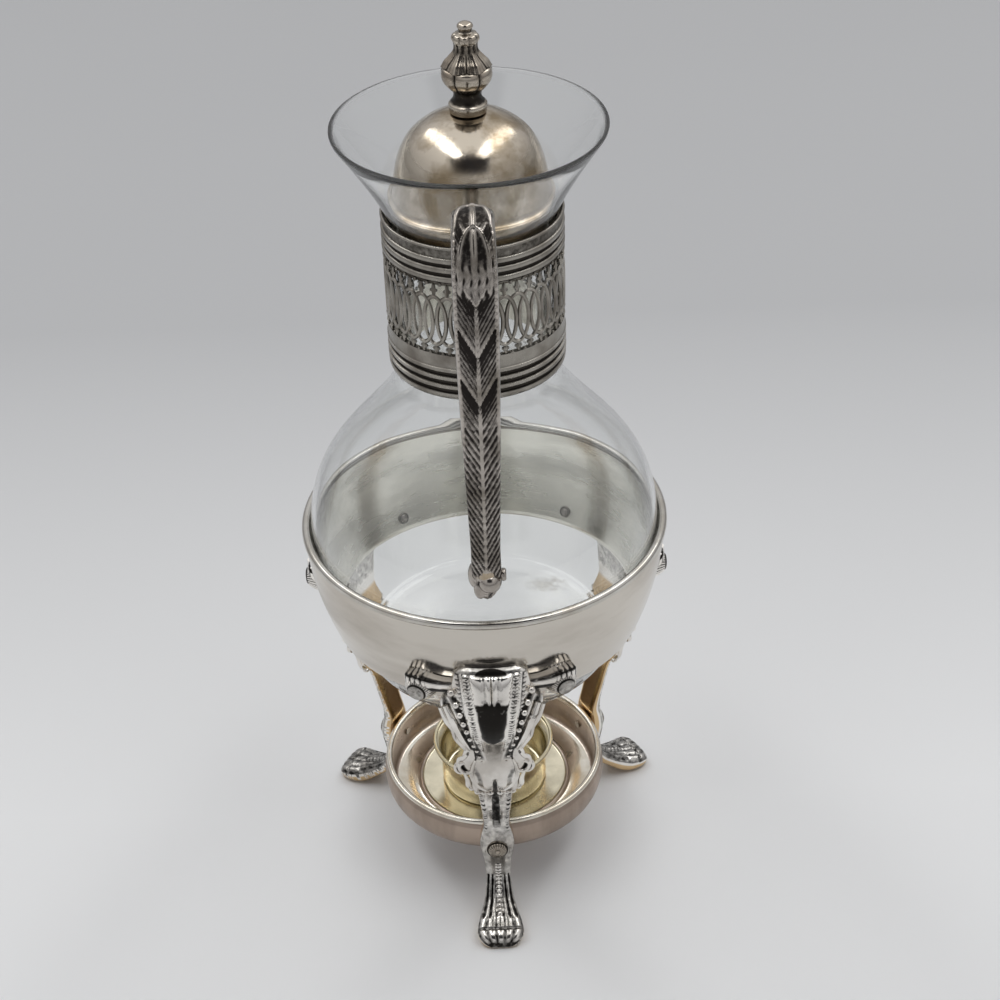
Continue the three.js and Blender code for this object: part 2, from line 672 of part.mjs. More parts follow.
function makeLegs() {
  const face = legFaceShares.map(legPoint);
  const back = legBackShares.map(legPoint);
  const widths = legWidthShares.map(([w, z]) => [w * legHalfWidth, legHeight(z)]);
  let blank = sidePlate([...face, ...back], legHalfWidth + overrun)
    .intersect(frontPrism(mirrored(widths), footReach + overrun));

  const footLength = footReach - ankleRadius;
  const footSide = footSideShares.map(([r, z]) => [ankleRadius + r * footLength, z * ankleHeight]);
  const footPlan = footPlanShares.map(([w, r]) => [w * footHalfWidth, ankleRadius + r * footLength]);
  const foot = sidePlate(footSide, footHalfWidth + overrun)
    .intersect(planPrism(mirrored(footPlan), 2 * ankleHeight));
  blank = blank.add(foot);

  const wingBottom = rivetZ - wingHeight * wingBelowShare;
  const wingOutside = wingShares.map(([proud, z]) => {
    const height = wingBottom + z * wingHeight;
    return [bowlOuter(height) + proud * wingProud, height];
  });
  const wingCore = bowlInner(bowlBottom) - overrun;
  const wingRing = turned(ringOutline(wingOutside, [
    [wingCore, wingBottom + wingHeight], [wingCore, wingBottom]]), bodySides);
  const span = footReach * Math.tan(wingAngle);
  const wedge = planPrism([[0, 0], [-span, footReach], [span, footReach]], legTop + overrun);
  const boss = wallBar(bossRadius, 0, wingProud + bossProud);
  const bosses = [-1, 1].map((side) => boss.rotate([0, 0, THREE.MathUtils.radToDeg(side * rivetAngle)]));
  blank = blank.add(wingRing.intersect(wedge)).add(bosses[0]).add(bosses[1]);

  const bowlSpace = bowlHeights.map((z) => [bowlOuter(z) + gap, z]);
  blank = blank.subtract(turned([
    [0, bowlBottom - gap], [bowlSpace[0][0], bowlBottom - gap], ...bowlSpace, [0, wallTop]], bodySides));
  const traySpace = trayOutside().map(([r, z]) => [r + gap, z]);
  const rimSpace = trayRadius + gap;
  blank = blank.subtract(turned([
    [0, trayBottom - overrun], [traySpace[0][0], trayBottom - overrun], ...traySpace,
    [rimSpace, trayWallTop], [rimSpace, trayTop + overrun], [0, trayTop + overrun]], bodySides));
  const pinHole = wallBar(rivetRadius + gap, -overrun, rivetLength + gap);
  for (const side of [-1, 1]) {
    blank = blank.subtract(pinHole.rotate([0, 0, THREE.MathUtils.radToDeg(side * rivetAngle)]));
  }
  const rosetteSeatRadius = legPoint([rosetteSeatShare, 0])[0];
  const seat = box(2 * footHalfWidth, overrun, 2 * rosetteRadius)
    .translate([0, -rosetteSeatRadius - overrun / 2, rosetteZ]);
  const screwHole = bar(trayScrewRadius + gap, 2 * footReach).translate([0, 0, rosetteZ]);
  blank = blank.subtract(seat).subtract(screwHole);

  ['front', 'right', 'left'].forEach((name, i) => {
    const turn = [0, 0, (360 * i) / legCount];
    addPiece(stand, `leg_${name}`, blank.rotate(turn), castSilver);
    const headStart = rosetteSeatRadius + gap;
    const head = bar(rosetteRadius, rosetteHeight, knobSides)
      .translate([0, -headStart - rosetteHeight / 2, rosetteZ]);
    const shankEnd = trayWallOuter - trayTaper - trayWall - trayScrewEnd;
    const shank = bar(trayScrewRadius, headStart + rosetteHeight / 2 - shankEnd)
      .translate([0, -(headStart + rosetteHeight / 2 + shankEnd) / 2, rosetteZ]);
    addPiece(stand, `tray_screw_${name}`, head.add(shank).rotate(turn), castSilver);
  });
}

// The cup's flare, as shares from its wall to its lip: of the width, and of the height
const cupFlareShares = [0.35, 0.5];
const cupInnerFlareShares = [0.4, 0.75];

function makeCup() {
  const wallTopZ = cupHeight - cupLipHeight;
  const inner = cupRadius - cupWall;
  const flarePoint = (wall, [r, z]) => [between(wall, cupLipRadius, r), between(wallTopZ, cupHeight, z)];
  const outline = [
    [0, 0], [cupRadius - cupCorner, 0], [cupRadius, cupCorner], [cupRadius, wallTopZ],
    flarePoint(cupRadius, cupFlareShares),
    [cupLipRadius - cupLipWire, cupHeight - 2 * cupLipWire], [cupLipRadius, cupHeight - cupLipWire],
    [cupLipRadius - cupLipWire, cupHeight],
    flarePoint(inner, cupInnerFlareShares), [inner, wallTopZ],
    [inner, cupCorner + cupWall], [inner - cupCorner, cupWall], [0, cupWall],
  ];
  addPiece(cup, 'candle_cup', turned(outline, bodySides), yellowSilver);
}

makeBowl();
makeTray();
makeLegs();
makeCup();
makeGlass();
makeCollar();
makeHandle();
makeClampScrews();
makeLid();

const bounds = new THREE.Box3().setFromObject(model);
const middle = bounds.getCenter(new THREE.Vector3());
model.position.set(-middle.x, -middle.y, -bounds.min.z);

export default model;
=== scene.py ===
# The looks of a glass coffee carafe on its silver warming stand, built round the frame of the real parts
import math

import bmesh
import bpy
from mathutils import Matrix, Vector


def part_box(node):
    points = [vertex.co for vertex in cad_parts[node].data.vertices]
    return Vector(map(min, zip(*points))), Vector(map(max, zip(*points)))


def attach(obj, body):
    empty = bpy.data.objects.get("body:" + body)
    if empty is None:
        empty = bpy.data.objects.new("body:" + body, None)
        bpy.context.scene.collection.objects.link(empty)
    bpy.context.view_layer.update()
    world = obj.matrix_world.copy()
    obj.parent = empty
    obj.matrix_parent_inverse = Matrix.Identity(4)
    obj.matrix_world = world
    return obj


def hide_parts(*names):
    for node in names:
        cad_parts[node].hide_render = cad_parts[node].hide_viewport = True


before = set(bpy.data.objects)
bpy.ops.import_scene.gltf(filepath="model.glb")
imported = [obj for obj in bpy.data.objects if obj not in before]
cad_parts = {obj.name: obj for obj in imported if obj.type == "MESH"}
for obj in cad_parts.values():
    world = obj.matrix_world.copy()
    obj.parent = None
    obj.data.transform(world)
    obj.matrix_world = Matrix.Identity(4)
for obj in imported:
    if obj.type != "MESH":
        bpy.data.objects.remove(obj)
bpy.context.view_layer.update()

MM = 0.001
WELD = 0.02 * MM
TURN = 2 * math.pi


# Places and sizes, in millimetres, from the frame. The outlines below are seen from the carafe's axis.
def low(node):
    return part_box(node)[0] / MM


def high(node):
    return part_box(node)[1] / MM


def heights(node):
    return low(node).z, high(node).z


def half_width(node):
    return (high(node).x - low(node).x) / 2


# How far the dressed collar and lid stand out from their solids
cover = 0.1

axis_y = (low("glass_carafe").y + high("glass_carafe").y) / 2
belly_radius = half_width("glass_carafe")
glass_bottom, glass_top = heights("glass_carafe")
collar_bottom, collar_top = heights("neck_collar")
collar_radius = half_width("neck_collar") + cover
lid_bottom, lid_top = heights("lid_dome")
flange_radius = half_width("lid_dome") + cover
finial_bottom, finial_top = heights("lid_finial")
bowl_bottom, wall_top = heights("warmer_bowl")
rim_bottom, rim_top = heights("bowl_rim")
rim_radius = half_width("bowl_rim")
tray_bottom, tray_top = heights("candle_tray")
tray_radius = half_width("candle_tray")
cup_bottom, cup_top = heights("candle_cup")
cup_radius = half_width("candle_cup")


# Outlines
def mix(a, b, share):
    return a + (b - a) * share


def bezier(a, b, c, d, steps):
    points = []
    for i in range(steps + 1):
        t = i / steps
        weights = ((1 - t) ** 3, 3 * t * (1 - t) ** 2, 3 * t * t * (1 - t), t ** 3)
        points.append(tuple(sum(w * p[k] for w, p in zip(weights, (a, b, c, d))) for k in (0, 1)))
    return points


def flow(points, steps=8):
    """A smooth line through points of any number of coordinates."""
    ends = [points[0], *points, points[-1]]
    line = []
    for a, b, c, d in zip(ends, ends[1:], ends[2:], ends[3:]):
        for i in range(steps):
            t = i / steps
            line.append(tuple(
                0.5 * (2 * q + (r - p) * t + (2 * p - 5 * q + 4 * r - s) * t * t
                       + (3 * q - p - 3 * r + s) * t ** 3)
                for p, q, r, s in zip(a, b, c, d)))
    line.append(tuple(points[-1]))
    return line


def offset(outline, distance):
    """Moves an outline to the left of its run, by a distance or by a table of it over the height."""
    moved = []
    for i, (x, z) in enumerate(outline):
        before = outline[max(i - 1, 0)]
        after = outline[min(i + 1, len(outline) - 1)]
        run = Vector((after[0] - before[0], after[1] - before[1])).normalized()
        far = distance if isinstance(distance, (int, float)) else at(distance, z)
        moved.append((x - far * run.y, z + far * run.x))
    return moved


def linear(table, place, smooth=False):
    """Reads a table of (place, value) rows, along straight lines or smoothly between its rows."""
    if place <= table[0][0]:
        return table[0][1]
    for (x0, y0), (x1, y1) in zip(table, table[1:]):
        if place <= x1:
            t = (place - x0) / (x1 - x0)
            return mix(y0, y1, t * t * (3 - 2 * t) if smooth else t)
    return table[-1][1]


def at(table, place):
    return linear(table, place, smooth=True)


def step(edge0, edge1, x):
    t = min(max((x - edge0) / (edge1 - edge0), 0.0), 1.0)
    return t * t * (3 - 2 * t)


def hump(x, middle, half):
    """A round bump of height 1 and of that half width."""
    t = abs(x - middle) / half
    return math.sqrt(1 - t * t) if t < 1 else 0.0


# Finishes
def feed(tree, socket, value):
    """Gives a socket a number, a vector, a colour or a link."""
    if isinstance(value, bpy.types.NodeSocket):
        tree.links.new(value, socket)
    elif socket.type == "RGBA":
        socket.default_value = (*value, 1)
    else:
        socket.default_value = value


def shader_node(tree, kind, inputs=None, **settings):
    made = tree.nodes.new("ShaderNode" + kind)
    for name, value in settings.items():
        setattr(made, name, value)
    for name, value in (inputs or {}).items():
        feed(tree, made.inputs[name], value)
    return made


def new_material(name):
    made = bpy.data.materials.new(name)
    made.use_nodes = True
    return made, made.node_tree, made.node_tree.nodes["Principled BSDF"]


def object_place(tree):
    return shader_node(tree, "TexCoord").outputs["Object"]


def hollow_and_shading_of(tree):
    return shader_node(tree, "Attribute", attribute_name="hollow_and_shading").outputs["Fac"]


def clouds(tree, scale, detail, stretch=(1, 1, 1)):
    mapping = shader_node(tree, "Mapping", {"Vector": object_place(tree), "Scale": stretch})
    noise = {"Vector": mapping.outputs["Vector"], "Scale": scale, "Detail": detail, "Roughness": 0.6}
    return shader_node(tree, "TexNoise", noise).outputs["Fac"]


def ramp(tree, value, start, end, first=0.0, last=1.0):
    limits = {"Value": value, "From Min": start, "From Max": end, "To Min": first, "To Max": last}
    return shader_node(tree, "MapRange", limits, clamp=True).outputs["Result"]


def blend_colour(tree, share, first, second):
    return shader_node(tree, "Mix", {0: share, 6: first, 7: second}, data_type="RGBA").outputs[2]


def sum_of(tree, first, second, operation="ADD"):
    return shader_node(tree, "Math", {0: first, 1: second}, operation=operation).outputs[0]


def bump(tree, **inputs):
    return shader_node(tree, "Bump", inputs).outputs["Normal"]


def with_patches(tree, patches, colour):
    """A colour that is darker where the patches of tarnish are."""
    return blend_colour(tree, patches, colour, tuple(0.7 * part for part in colour))


def silver(name, clean, tarnish, shine, dull, patch=60, spread=(0.42, 0.66), smear=(1, 1, 1),
           streaks=(1, 1, 1), grain=900, grain_depth=0.04, wave=0.0, oxide_and_shade=None, back=None):
    """Silver plate: patches of tarnish, fine wear that dulls it, soft waves, a dark patina colour in the
    hollows that also paints shade where a piece marks painted shade, and the colour of its back or inside,
    where the mark is -1, which on the bowl's and the collar's insides is a painted light."""
    made, tree, shader = new_material(name)
    shader.inputs["Metallic"].default_value = 1.0
    patches = ramp(tree, clouds(tree, patch, 7, smear), *spread)
    wear = clouds(tree, grain / 3, 5, streaks)
    colour = blend_colour(tree, patches, clean, tarnish)
    rough = ramp(tree, sum_of(tree, patches, wear), 0.3, 1.5, shine, dull)
    if oxide_and_shade:
        speck = sum_of(tree, clouds(tree, patch * 9, 6), 0.5, "SUBTRACT")
        deep = ramp(tree, sum_of(tree, hollow_and_shading_of(tree), speck), 0.25, 0.85)
        colour = blend_colour(tree, deep, colour, with_patches(tree, patches, oxide_and_shade))
        rough = sum_of(tree, rough, ramp(tree, deep, 0, 1, 0, 0.2))
    if back:
        inner = ramp(tree, hollow_and_shading_of(tree), -0.6, -0.9)
        colour = blend_colour(tree, inner, colour, with_patches(tree, patches, back))
        rough = sum_of(tree, rough, ramp(tree, inner, 0, 1, 0, 0.08))
    feed(tree, shader.inputs["Base Color"], colour)
    feed(tree, shader.inputs["Roughness"], rough)
    grained = {"Distance": grain_depth * MM, "Strength": 0.5, "Height": clouds(tree, grain, 4, streaks)}
    if wave:
        grained["Normal"] = bump(tree, Distance=wave * MM, Strength=1.0, Height=clouds(tree, 45, 2))
    feed(tree, shader.inputs["Normal"], bump(tree, **grained))
    return made


def clear_glass(name):
    """Glass with a faint smear, a softer lip where hollow is 1 and a smudge of soot on its bottom. It casts
    no shadow, so that light reaches the silver behind it."""
    made, tree, shader = new_material(name)
    shader.inputs["Transmission Weight"].default_value = 1.0
    shader.inputs["IOR"].default_value = 1.47
    smear = ramp(tree, clouds(tree, 30, 6), 0.5, 0.75, 0.0, 0.035)
    lip = ramp(tree, hollow_and_shading_of(tree), 0.2, 1.0, 0.0, 0.34)
    feed(tree, shader.inputs["Roughness"], sum_of(tree, smear, lip))
    tint_share = ramp(tree, clouds(tree, 12, 3), 0.3, 0.7)
    tint = blend_colour(tree, tint_share, (0.975, 0.985, 0.98), (0.985, 0.99, 0.99))
    soot_place = (24, axis_y + 29, 93)
    soot_reach = (11, 7, 6)
    centred = {"Vector": object_place(tree),
               "Location": tuple(-place / reach for place, reach in zip(soot_place, soot_reach)),
               "Scale": tuple(1 / (reach * MM) for reach in soot_reach)}
    mapping = shader_node(tree, "Mapping", centred)
    fade = shader_node(tree, "TexGradient", {0: mapping.outputs["Vector"]}, gradient_type="SPHERICAL")
    speckled = ramp(tree, clouds(tree, 260, 5), 0.35, 0.65)
    soot = ramp(tree, sum_of(tree, fade.outputs["Fac"], speckled, "MULTIPLY"), 0.05, 0.45)
    feed(tree, shader.inputs["Base Color"], blend_colour(tree, soot, tint, (0.55, 0.52, 0.48)))
    mixer = shader_node(tree, "MixShader", {
        0: shader_node(tree, "LightPath").outputs["Is Shadow Ray"],
        1: shader.outputs["BSDF"],
        2: shader_node(tree, "BsdfTransparent").outputs["BSDF"]})
    feed(tree, tree.nodes["Material Output"].inputs["Surface"], mixer.outputs["Shader"])
    return made


glass_finish = clear_glass("fire_polished_glass")
lid_finish = silver("lid_silver", (0.60, 0.535, 0.445), (0.29, 0.225, 0.145), 0.10, 0.26, patch=55,
                    spread=(0.45, 0.62), wave=0.03)
# The bowl's back colour is a painted light: its inside is painted pale, for the light that falls into the
# bowl.
bowl_finish = silver("bowl_silver", (0.655, 0.615, 0.555), (0.50, 0.455, 0.40), 0.11, 0.27, patch=26,
                     smear=(0.6, 0.6, 2.2), streaks=(0.25, 0.25, 2.5), grain=700, grain_depth=0.02,
                     wave=0.04, oxide_and_shade=(0.3, 0.27, 0.24), back=(0.97, 0.94, 0.85))
rim_finish = silver("rim_silver", (0.62, 0.60, 0.56), (0.46, 0.425, 0.37), 0.08, 0.2)
# The collar's back colour is a painted light: its inside is painted pale and warm, for light reaching it
# through the glass.
collar_finish = silver("collar_silver", (0.34, 0.32, 0.285), (0.20, 0.18, 0.155), 0.24, 0.44, patch=75,
                       oxide_and_shade=(0.05, 0.044, 0.038), back=(0.92, 0.87, 0.76))
handle_finish = silver("handle_silver", (0.50, 0.46, 0.42), (0.22, 0.195, 0.165), 0.13, 0.30, patch=80,
                       oxide_and_shade=(0.03, 0.026, 0.024), back=(0.50, 0.37, 0.20))
aged_finish = silver("aged_silver", (0.50, 0.45, 0.38), (0.30, 0.25, 0.20), 0.12, 0.28, patch=90,
                       oxide_and_shade=(0.035, 0.03, 0.025))
leg_finish = silver("leg_silver", (0.93, 0.90, 0.85), (0.64, 0.60, 0.55), 0.06, 0.20, patch=50,
                    oxide_and_shade=(0.022, 0.02, 0.018), wave=0.03, back=(0.74, 0.54, 0.31))
rivet_finish = silver("rivet_silver", (0.34, 0.32, 0.30), (0.22, 0.20, 0.18), 0.2, 0.4,
                      oxide_and_shade=(0.03, 0.03, 0.03))
tray_finish = silver("tray_silver", (0.80, 0.76, 0.68), (0.60, 0.54, 0.44), 0.07, 0.22, patch=35,
                     smear=(1.5, 1.5, 0.5), oxide_and_shade=(0.46, 0.37, 0.305), wave=0.04, back=(0.86, 0.79, 0.61))
cup_finish = silver("cup_silver", (0.74, 0.68, 0.51), (0.60, 0.52, 0.34), 0.14, 0.3, patch=40, wave=0.04)
steel_finish = silver("screw_steel", (0.55, 0.54, 0.52), (0.4, 0.39, 0.37), 0.3, 0.45)


# Making and placing pieces. Every shape is made round the origin in millimetres and then put on the axis.
def finish_piece(bm, name, finish, body, replaced, crease=40):
    """Makes a piece of a shape, on the carafe's axis. Edges sharper than crease, in degrees, stay sharp."""
    bmesh.ops.remove_doubles(bm, verts=bm.verts, dist=WELD / MM)
    bmesh.ops.recalc_face_normals(bm, faces=bm.faces)
    bmesh.ops.scale(bm, vec=(MM, MM, MM), verts=bm.verts)
    bmesh.ops.translate(bm, vec=(0, axis_y * MM, 0), verts=bm.verts)
    mesh = bpy.data.meshes.new(name)
    bm.to_mesh(mesh)
    bm.free()
    mesh.polygons.foreach_set("use_smooth", [True] * len(mesh.polygons))
    mesh.set_sharp_from_angle(angle=math.radians(crease))
    made = bpy.data.objects.new(name, mesh)
    bpy.context.collection.objects.link(made)
    mesh.materials.append(finish)
    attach(made, body)
    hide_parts(*replaced)


def lathe(bm, outline, segments):
    """Spins (radius, height) points about the axis."""
    verts = [bm.verts.new((r, 0, z)) for r, z in outline]
    edges = [bm.edges.new(pair) for pair in zip(verts, verts[1:])]
    bmesh.ops.spin(bm, geom=verts + edges, cent=(0, 0, 0), axis=(0, 0, 1), dvec=(0, 0, 0),
                   angle=TURN, steps=segments, use_merge=True)
    bmesh.ops.remove_doubles(bm, verts=bm.verts, dist=WELD / MM)


def skin(bm, around, along, place):
    """A tube whose point for u round it and v along it, both 0 to 1, is place(u, v), which also gives its
    mark of hollows and painted shade there. Open ends are closed."""
    hollow_and_shading = bm.verts.layers.float.get("hollow_and_shading") or bm.verts.layers.float.new("hollow_and_shading")
    made = bmesh.ops.create_grid(bm, x_segments=around, y_segments=along, size=0.5)["verts"]
    for vert in made:
        vert.co, vert[hollow_and_shading] = place(vert.co.x + 0.5, vert.co.y + 0.5)
    bmesh.ops.remove_doubles(bm, verts=made, dist=WELD / MM)
    near = [edge for vert in made if vert.is_valid for edge in vert.link_edges]
    ends = dict.fromkeys(edge for edge in near if edge.is_boundary)
    bmesh.ops.holes_fill(bm, edges=list(ends), sides=0)


def ball(bm, place, radius, u=12, v=8, stretch=(1, 1, 1)):
    matrix = Matrix.Translation(place) @ Matrix.Diagonal((*stretch, 1))
    return bmesh.ops.create_uvsphere(bm, u_segments=u, v_segments=v, radius=radius, matrix=matrix)["verts"]


def arc(middle, height, radius, first, last, steps):
    """Outline points round a middle, from step first to step last, with so many steps to half a turn."""
    turns = [math.pi * i / steps for i in range(first, last + 1)]
    return [(middle + radius * math.cos(turn), height + radius * math.sin(turn)) for turn in turns]


def raised(outline, height):
    return [(r, z + height) for r, z in outline]


# Glass carafe
glass_floor = 3.0
belly_z = glass_bottom + 53.8
neck_radius = 27.7
neck_bottom = belly_z + 66
neck_top = neck_bottom + 56
mouth_radius = 45.2
lip_height = 1.4
heel = (46.0, glass_bottom + 1.8)


def glass_outline():
    belly = bezier(heel, (mix(heel[0], belly_radius, 0.66), mix(heel[1], belly_z, 0.335)),
                   (belly_radius, mix(heel[1], belly_z, 0.786)), (belly_radius, belly_z), 28)
    shoulder = bezier((belly_radius, belly_z), (belly_radius, mix(belly_z, neck_bottom, 0.506)),
                      (mix(belly_radius, neck_radius, 0.496), mix(belly_z, neck_bottom, 0.553)),
                      (neck_radius, neck_bottom), 32)
    lip = glass_top - lip_height
    funnel = bezier((neck_radius, neck_top), (neck_radius, mix(neck_top, lip, 0.26)),
                    (mix(neck_radius, mouth_radius, 0.66), mix(neck_top, lip, 0.73)),
                    (mouth_radius, lip), 24)
    return belly + shoulder[1:] + funnel


glass_outside = glass_outline()
glass_walls = [(glass_bottom, 2.2), (belly_z, 1.7), (neck_bottom - 16, 1.8), (neck_bottom + 10, 2.5),
               (neck_top - 2, 1.95), (glass_top - 6, 1.5), (glass_top, 1.25)]


def make_glass():
    floor = glass_bottom + glass_floor
    inside = [p for p in offset(glass_outside, glass_walls) if p[1] > floor + 1]
    foot = flow([(0, glass_bottom + 1.0), (25, glass_bottom + 0.6), (38, glass_bottom),
                 (42, glass_bottom + 0.2), heel], 5)[:-1]
    rim = bezier(glass_outside[-1], (mouth_radius + 0.6, glass_top + 0.35),
                 (inside[-1][0] + 0.5, glass_top + 0.4), inside[-1], 10)[1:-1]
    floor_inside = flow([inside[0], (inside[0][0] - 4, floor + 0.4), (30, floor), (0, floor)], 5)[1:]
    bm = bmesh.new()
    lathe(bm, foot + glass_outside + rim + inside[::-1] + floor_inside, 180)
    hollow_and_shading = bm.verts.layers.float.new("hollow_and_shading")
    for vert in bm.verts:
        vert[hollow_and_shading] = step(glass_top - 1.6, glass_top - 1.0, vert.co.z)
    finish_piece(bm, "carafe_glass", glass_finish, "carafe", ["glass_carafe"], crease=80)


# Lid
def make_lid():
    tall = lid_top - lid_bottom
    lip = 0.7
    wall = 1.1
    dome = flow([(flange_radius - 0.6, 1.3), (flange_radius - 1.6, 2.1), (26.0, 4.6), (25.2, 8.6),
                 (24.2, 13.0), (22.4, 17.6), (19.6, 21.8), (15, 25.6), (9.5, 28.4), (5, tall - 0.1),
                 (3, tall)], 8)
    inside = offset(dome, wall)
    edge = (inside[0][0] - 0.2, 0)
    under = [p for p in reversed(inside) if p[1] < tall - wall - 0.05]
    outline = [edge, *arc(flange_radius - lip, lip, lip, -4, 4, 8), *dome[1:], (0, tall), (0, tall - wall),
               *under, edge]
    bm = bmesh.new()
    lathe(bm, raised(outline, lid_bottom), 160)
    finish_piece(bm, "lid_shell", lid_finish, "lid", ["lid_dome"], crease=50)

    radius = half_width("lid_bezel")
    lower = low("lid_bezel").z
    bm = bmesh.new()
    lathe(bm, [(radius, lower), (radius, lid_bottom + 1), (radius - 0.5, lid_bottom + 2.5),
               (radius - 1, lid_bottom + 2.5), (radius - 1, lower), (radius, lower)], 128)
    finish_piece(bm, "lid_skirt", lid_finish, "lid", ["lid_bezel"])


def make_finial():
    """The knob: a turned foot, six lobes, six petals, a fluted neck, a lobed bead and a small tip."""
    seat = lid_top + 0.3
    tall = finial_top - seat
    # Shares of the knob's height, and radii
    table = flow([(0.0, 6.0), (0.035, 6.15), (0.085, 6.3), (0.11, 5.7), (0.15, 4.8), (0.20, 4.5),
                  (0.24, 4.9), (0.28, 5.9), (0.32, 6.9), (0.36, 7.7), (0.40, 8.1), (0.445, 8.2),
                  (0.485, 7.8), (0.512, 7.2), (0.522, 7.7), (0.57, 6.6), (0.61, 5.4), (0.65, 4.4),
                  (0.69, 3.85), (0.72, 3.7), (0.755, 3.75), (0.785, 4.0), (0.82, 4.25), (0.86, 3.7),
                  (0.885, 2.2), (0.91, 2.2), (0.946, 2.6), (0.975, 2.1), (0.992, 1.1), (1.0, 0.05)], 5)
    petals = 6

    def place(u, v):
        angle = TURN * u
        share, radius = table[min(int(v * (len(table) - 1) + 0.5), len(table) - 1)]
        upper = step(0.510, 0.524, share) * (1 - step(0.63, 0.70, share))
        lower = step(0.22, 0.30, share) * (1 - step(0.49, 0.512, share))
        neck = step(0.64, 0.70, share) * (1 - step(0.76, 0.785, share))
        bead = step(0.76, 0.80, share) * (1 - step(0.86, 0.88, share))
        facet = abs(math.cos(petals / 2 * angle))
        rib = hump(facet, 1, 0.06)
        vein = abs(math.cos(petals * 2.5 * angle))
        between = abs(math.sin(petals / 2 * angle))
        flute = abs(math.cos(6 * angle))
        lobe = abs(math.cos(4 * angle + 0.4))
        swell = upper * (0.75 * facet + 0.3 * rib + 0.2 * vein - 0.65)
        swell += lower * (0.7 * between ** 0.5 - 0.4)
        swell += neck * 0.35 * (flute - 0.6) + bead * (0.7 * lobe ** 0.5 - 0.4)
        fall = -0.6 * upper * (1 - step(0.53, 0.58, share)) * facet
        hollow_and_shading = upper * (0.9 * (1 - facet ** 0.35) + 0.35 * (1 - vein) - 0.4 * rib)
        hollow_and_shading += lower * (1 - between ** 0.35) + neck * (0.55 + 0.5 * (1 - flute))
        hollow_and_shading += bead * (1 - lobe ** 0.4) + 0.95 * (step(0.09, 0.13, share) - step(0.24, 0.32, share))
        hollow_and_shading += 0.6 * hump(share, 0.9, 0.03) + 0.8 * hump(share, 0.512, 0.012)
        z = seat + share * tall + fall
        r = radius + swell
        return Vector((r * math.cos(angle), r * math.sin(angle), z)), hollow_and_shading

    bm = bmesh.new()
    skin(bm, 120, len(table) - 1, place)
    stud_top = seat + 2
    bmesh.ops.create_cone(bm, cap_ends=True, segments=16, radius1=1.5, radius2=1.5,
                          depth=stud_top - finial_bottom,
                          matrix=Matrix.Translation((0, 0, (stud_top + finial_bottom) / 2)))
    finish_piece(bm, "lid_knob", aged_finish, "lid", ["lid_finial"], crease=60)


# Collar: two turned bands, and between them a pierced belt of overlapping ellipses, stems and nubs
lattice_bottom = collar_bottom + 17
lattice_top = collar_top - 13.8
lattice_count = 40
lattice_bar = 0.78
belt_radius = collar_radius - 0.75
collar_wall = collar_radius - 2.3
groove = 0.85


def upper_band():
    """Depth under the collar's radius and distance under its top: lip, plain recess and three ridges."""
    rows = [(0.9, 0), (0.35, 0.05), (0, 0.35), (0, 0.75), (0.3, 0.95), (0.7, 1.05), (0.7, 4.1)]
    for i in range(3):
        top = 4.3 + 3.3 * i
        rows += [(0.15, top), (0, top + 0.25), (0, top + 1.4), (0.15, top + 1.65), (groove, top + 1.85),
                 (groove, top + 3.05)]
    outline = [(collar_radius - depth, collar_top - down) for depth, down in rows]
    return outline + [(belt_radius + 0.4, lattice_top)]


def lower_band():
    """The same from the belt down: a plain stretch, three ridges and a rounded edge."""
    rows = [(0.35, 0), (0.35, 4.4), (0.2, 4.9)]
    for i in range(3):
        top = 5.0 + 3.2 * i
        rows += [(0, top), (0, top + 1.15), (0.15, top + 1.4), (groove, top + 1.6), (groove, top + 2.9),
                 (0.2, top + 3.1)]
    rows += [(0.1, 15.0), (0.3, 16.0), (0.9, 16.8), (1.6, 17)]
    return [(collar_radius - depth, lattice_bottom - down) for depth, down in rows]


def belt_place(angle, height, proud=0.0):
    r = belt_radius + proud
    return Vector((r * math.sin(angle), -r * math.cos(angle), height))


def ellipse_bar(bm, half_angle):
    """One upright ellipse of the belt, bent round the collar."""
    top = lattice_top - 4.9
    bottom = lattice_bottom + 3.6
    middle = (top + bottom) / 2
    half_height = (top - bottom) / 2

    def place(u, v):
        turn = TURN * v
        side = TURN * u
        wide = lattice_bar * math.cos(side)
        a = (half_angle + wide / belt_radius) * math.cos(turn)
        z = middle + (half_height + wide) * math.sin(turn)
        over = 0.2 * math.cos(turn) + 0.55 * math.sin(side)
        return belt_place(a, z, over), 0.2 - 0.6 * math.sin(side)

    skin(bm, 6, 40, place)


def belt_column():
    """One ellipse of the belt with its stems and nubs, as a mesh that is copied round the collar."""
    bm = bmesh.new()
    hollow_and_shading = bm.verts.layers.float.new("hollow_and_shading")
    pitch = TURN / lattice_count
    for angle, height, radius, tall in (
            (0, lattice_top - 2.4, 0.8, 3.4), (0, lattice_bottom + 1.8, 0.8, 2.6),
            (0.5, lattice_top - 0.1, 0.75, 1.0), (0.5, lattice_bottom + 0.1, 0.75, 1.0),
            (0.17, lattice_top - 2.5, 0.6, 1.0), (-0.17, lattice_top - 2.5, 0.6, 1.0),
            (0.17, lattice_bottom + 2.1, 0.6, 1.0), (-0.17, lattice_bottom + 2.1, 0.6, 1.0)):
        ball(bm, belt_place(angle * pitch, height, -0.1), radius, 6, 4, (1, 1, tall))
    for vert in bm.verts:
        vert[hollow_and_shading] = 0.25
    ellipse_bar(bm, pitch * 0.86)
    mesh = bpy.data.meshes.new("belt_column")
    bm.to_mesh(mesh)
    bm.free()
    return mesh


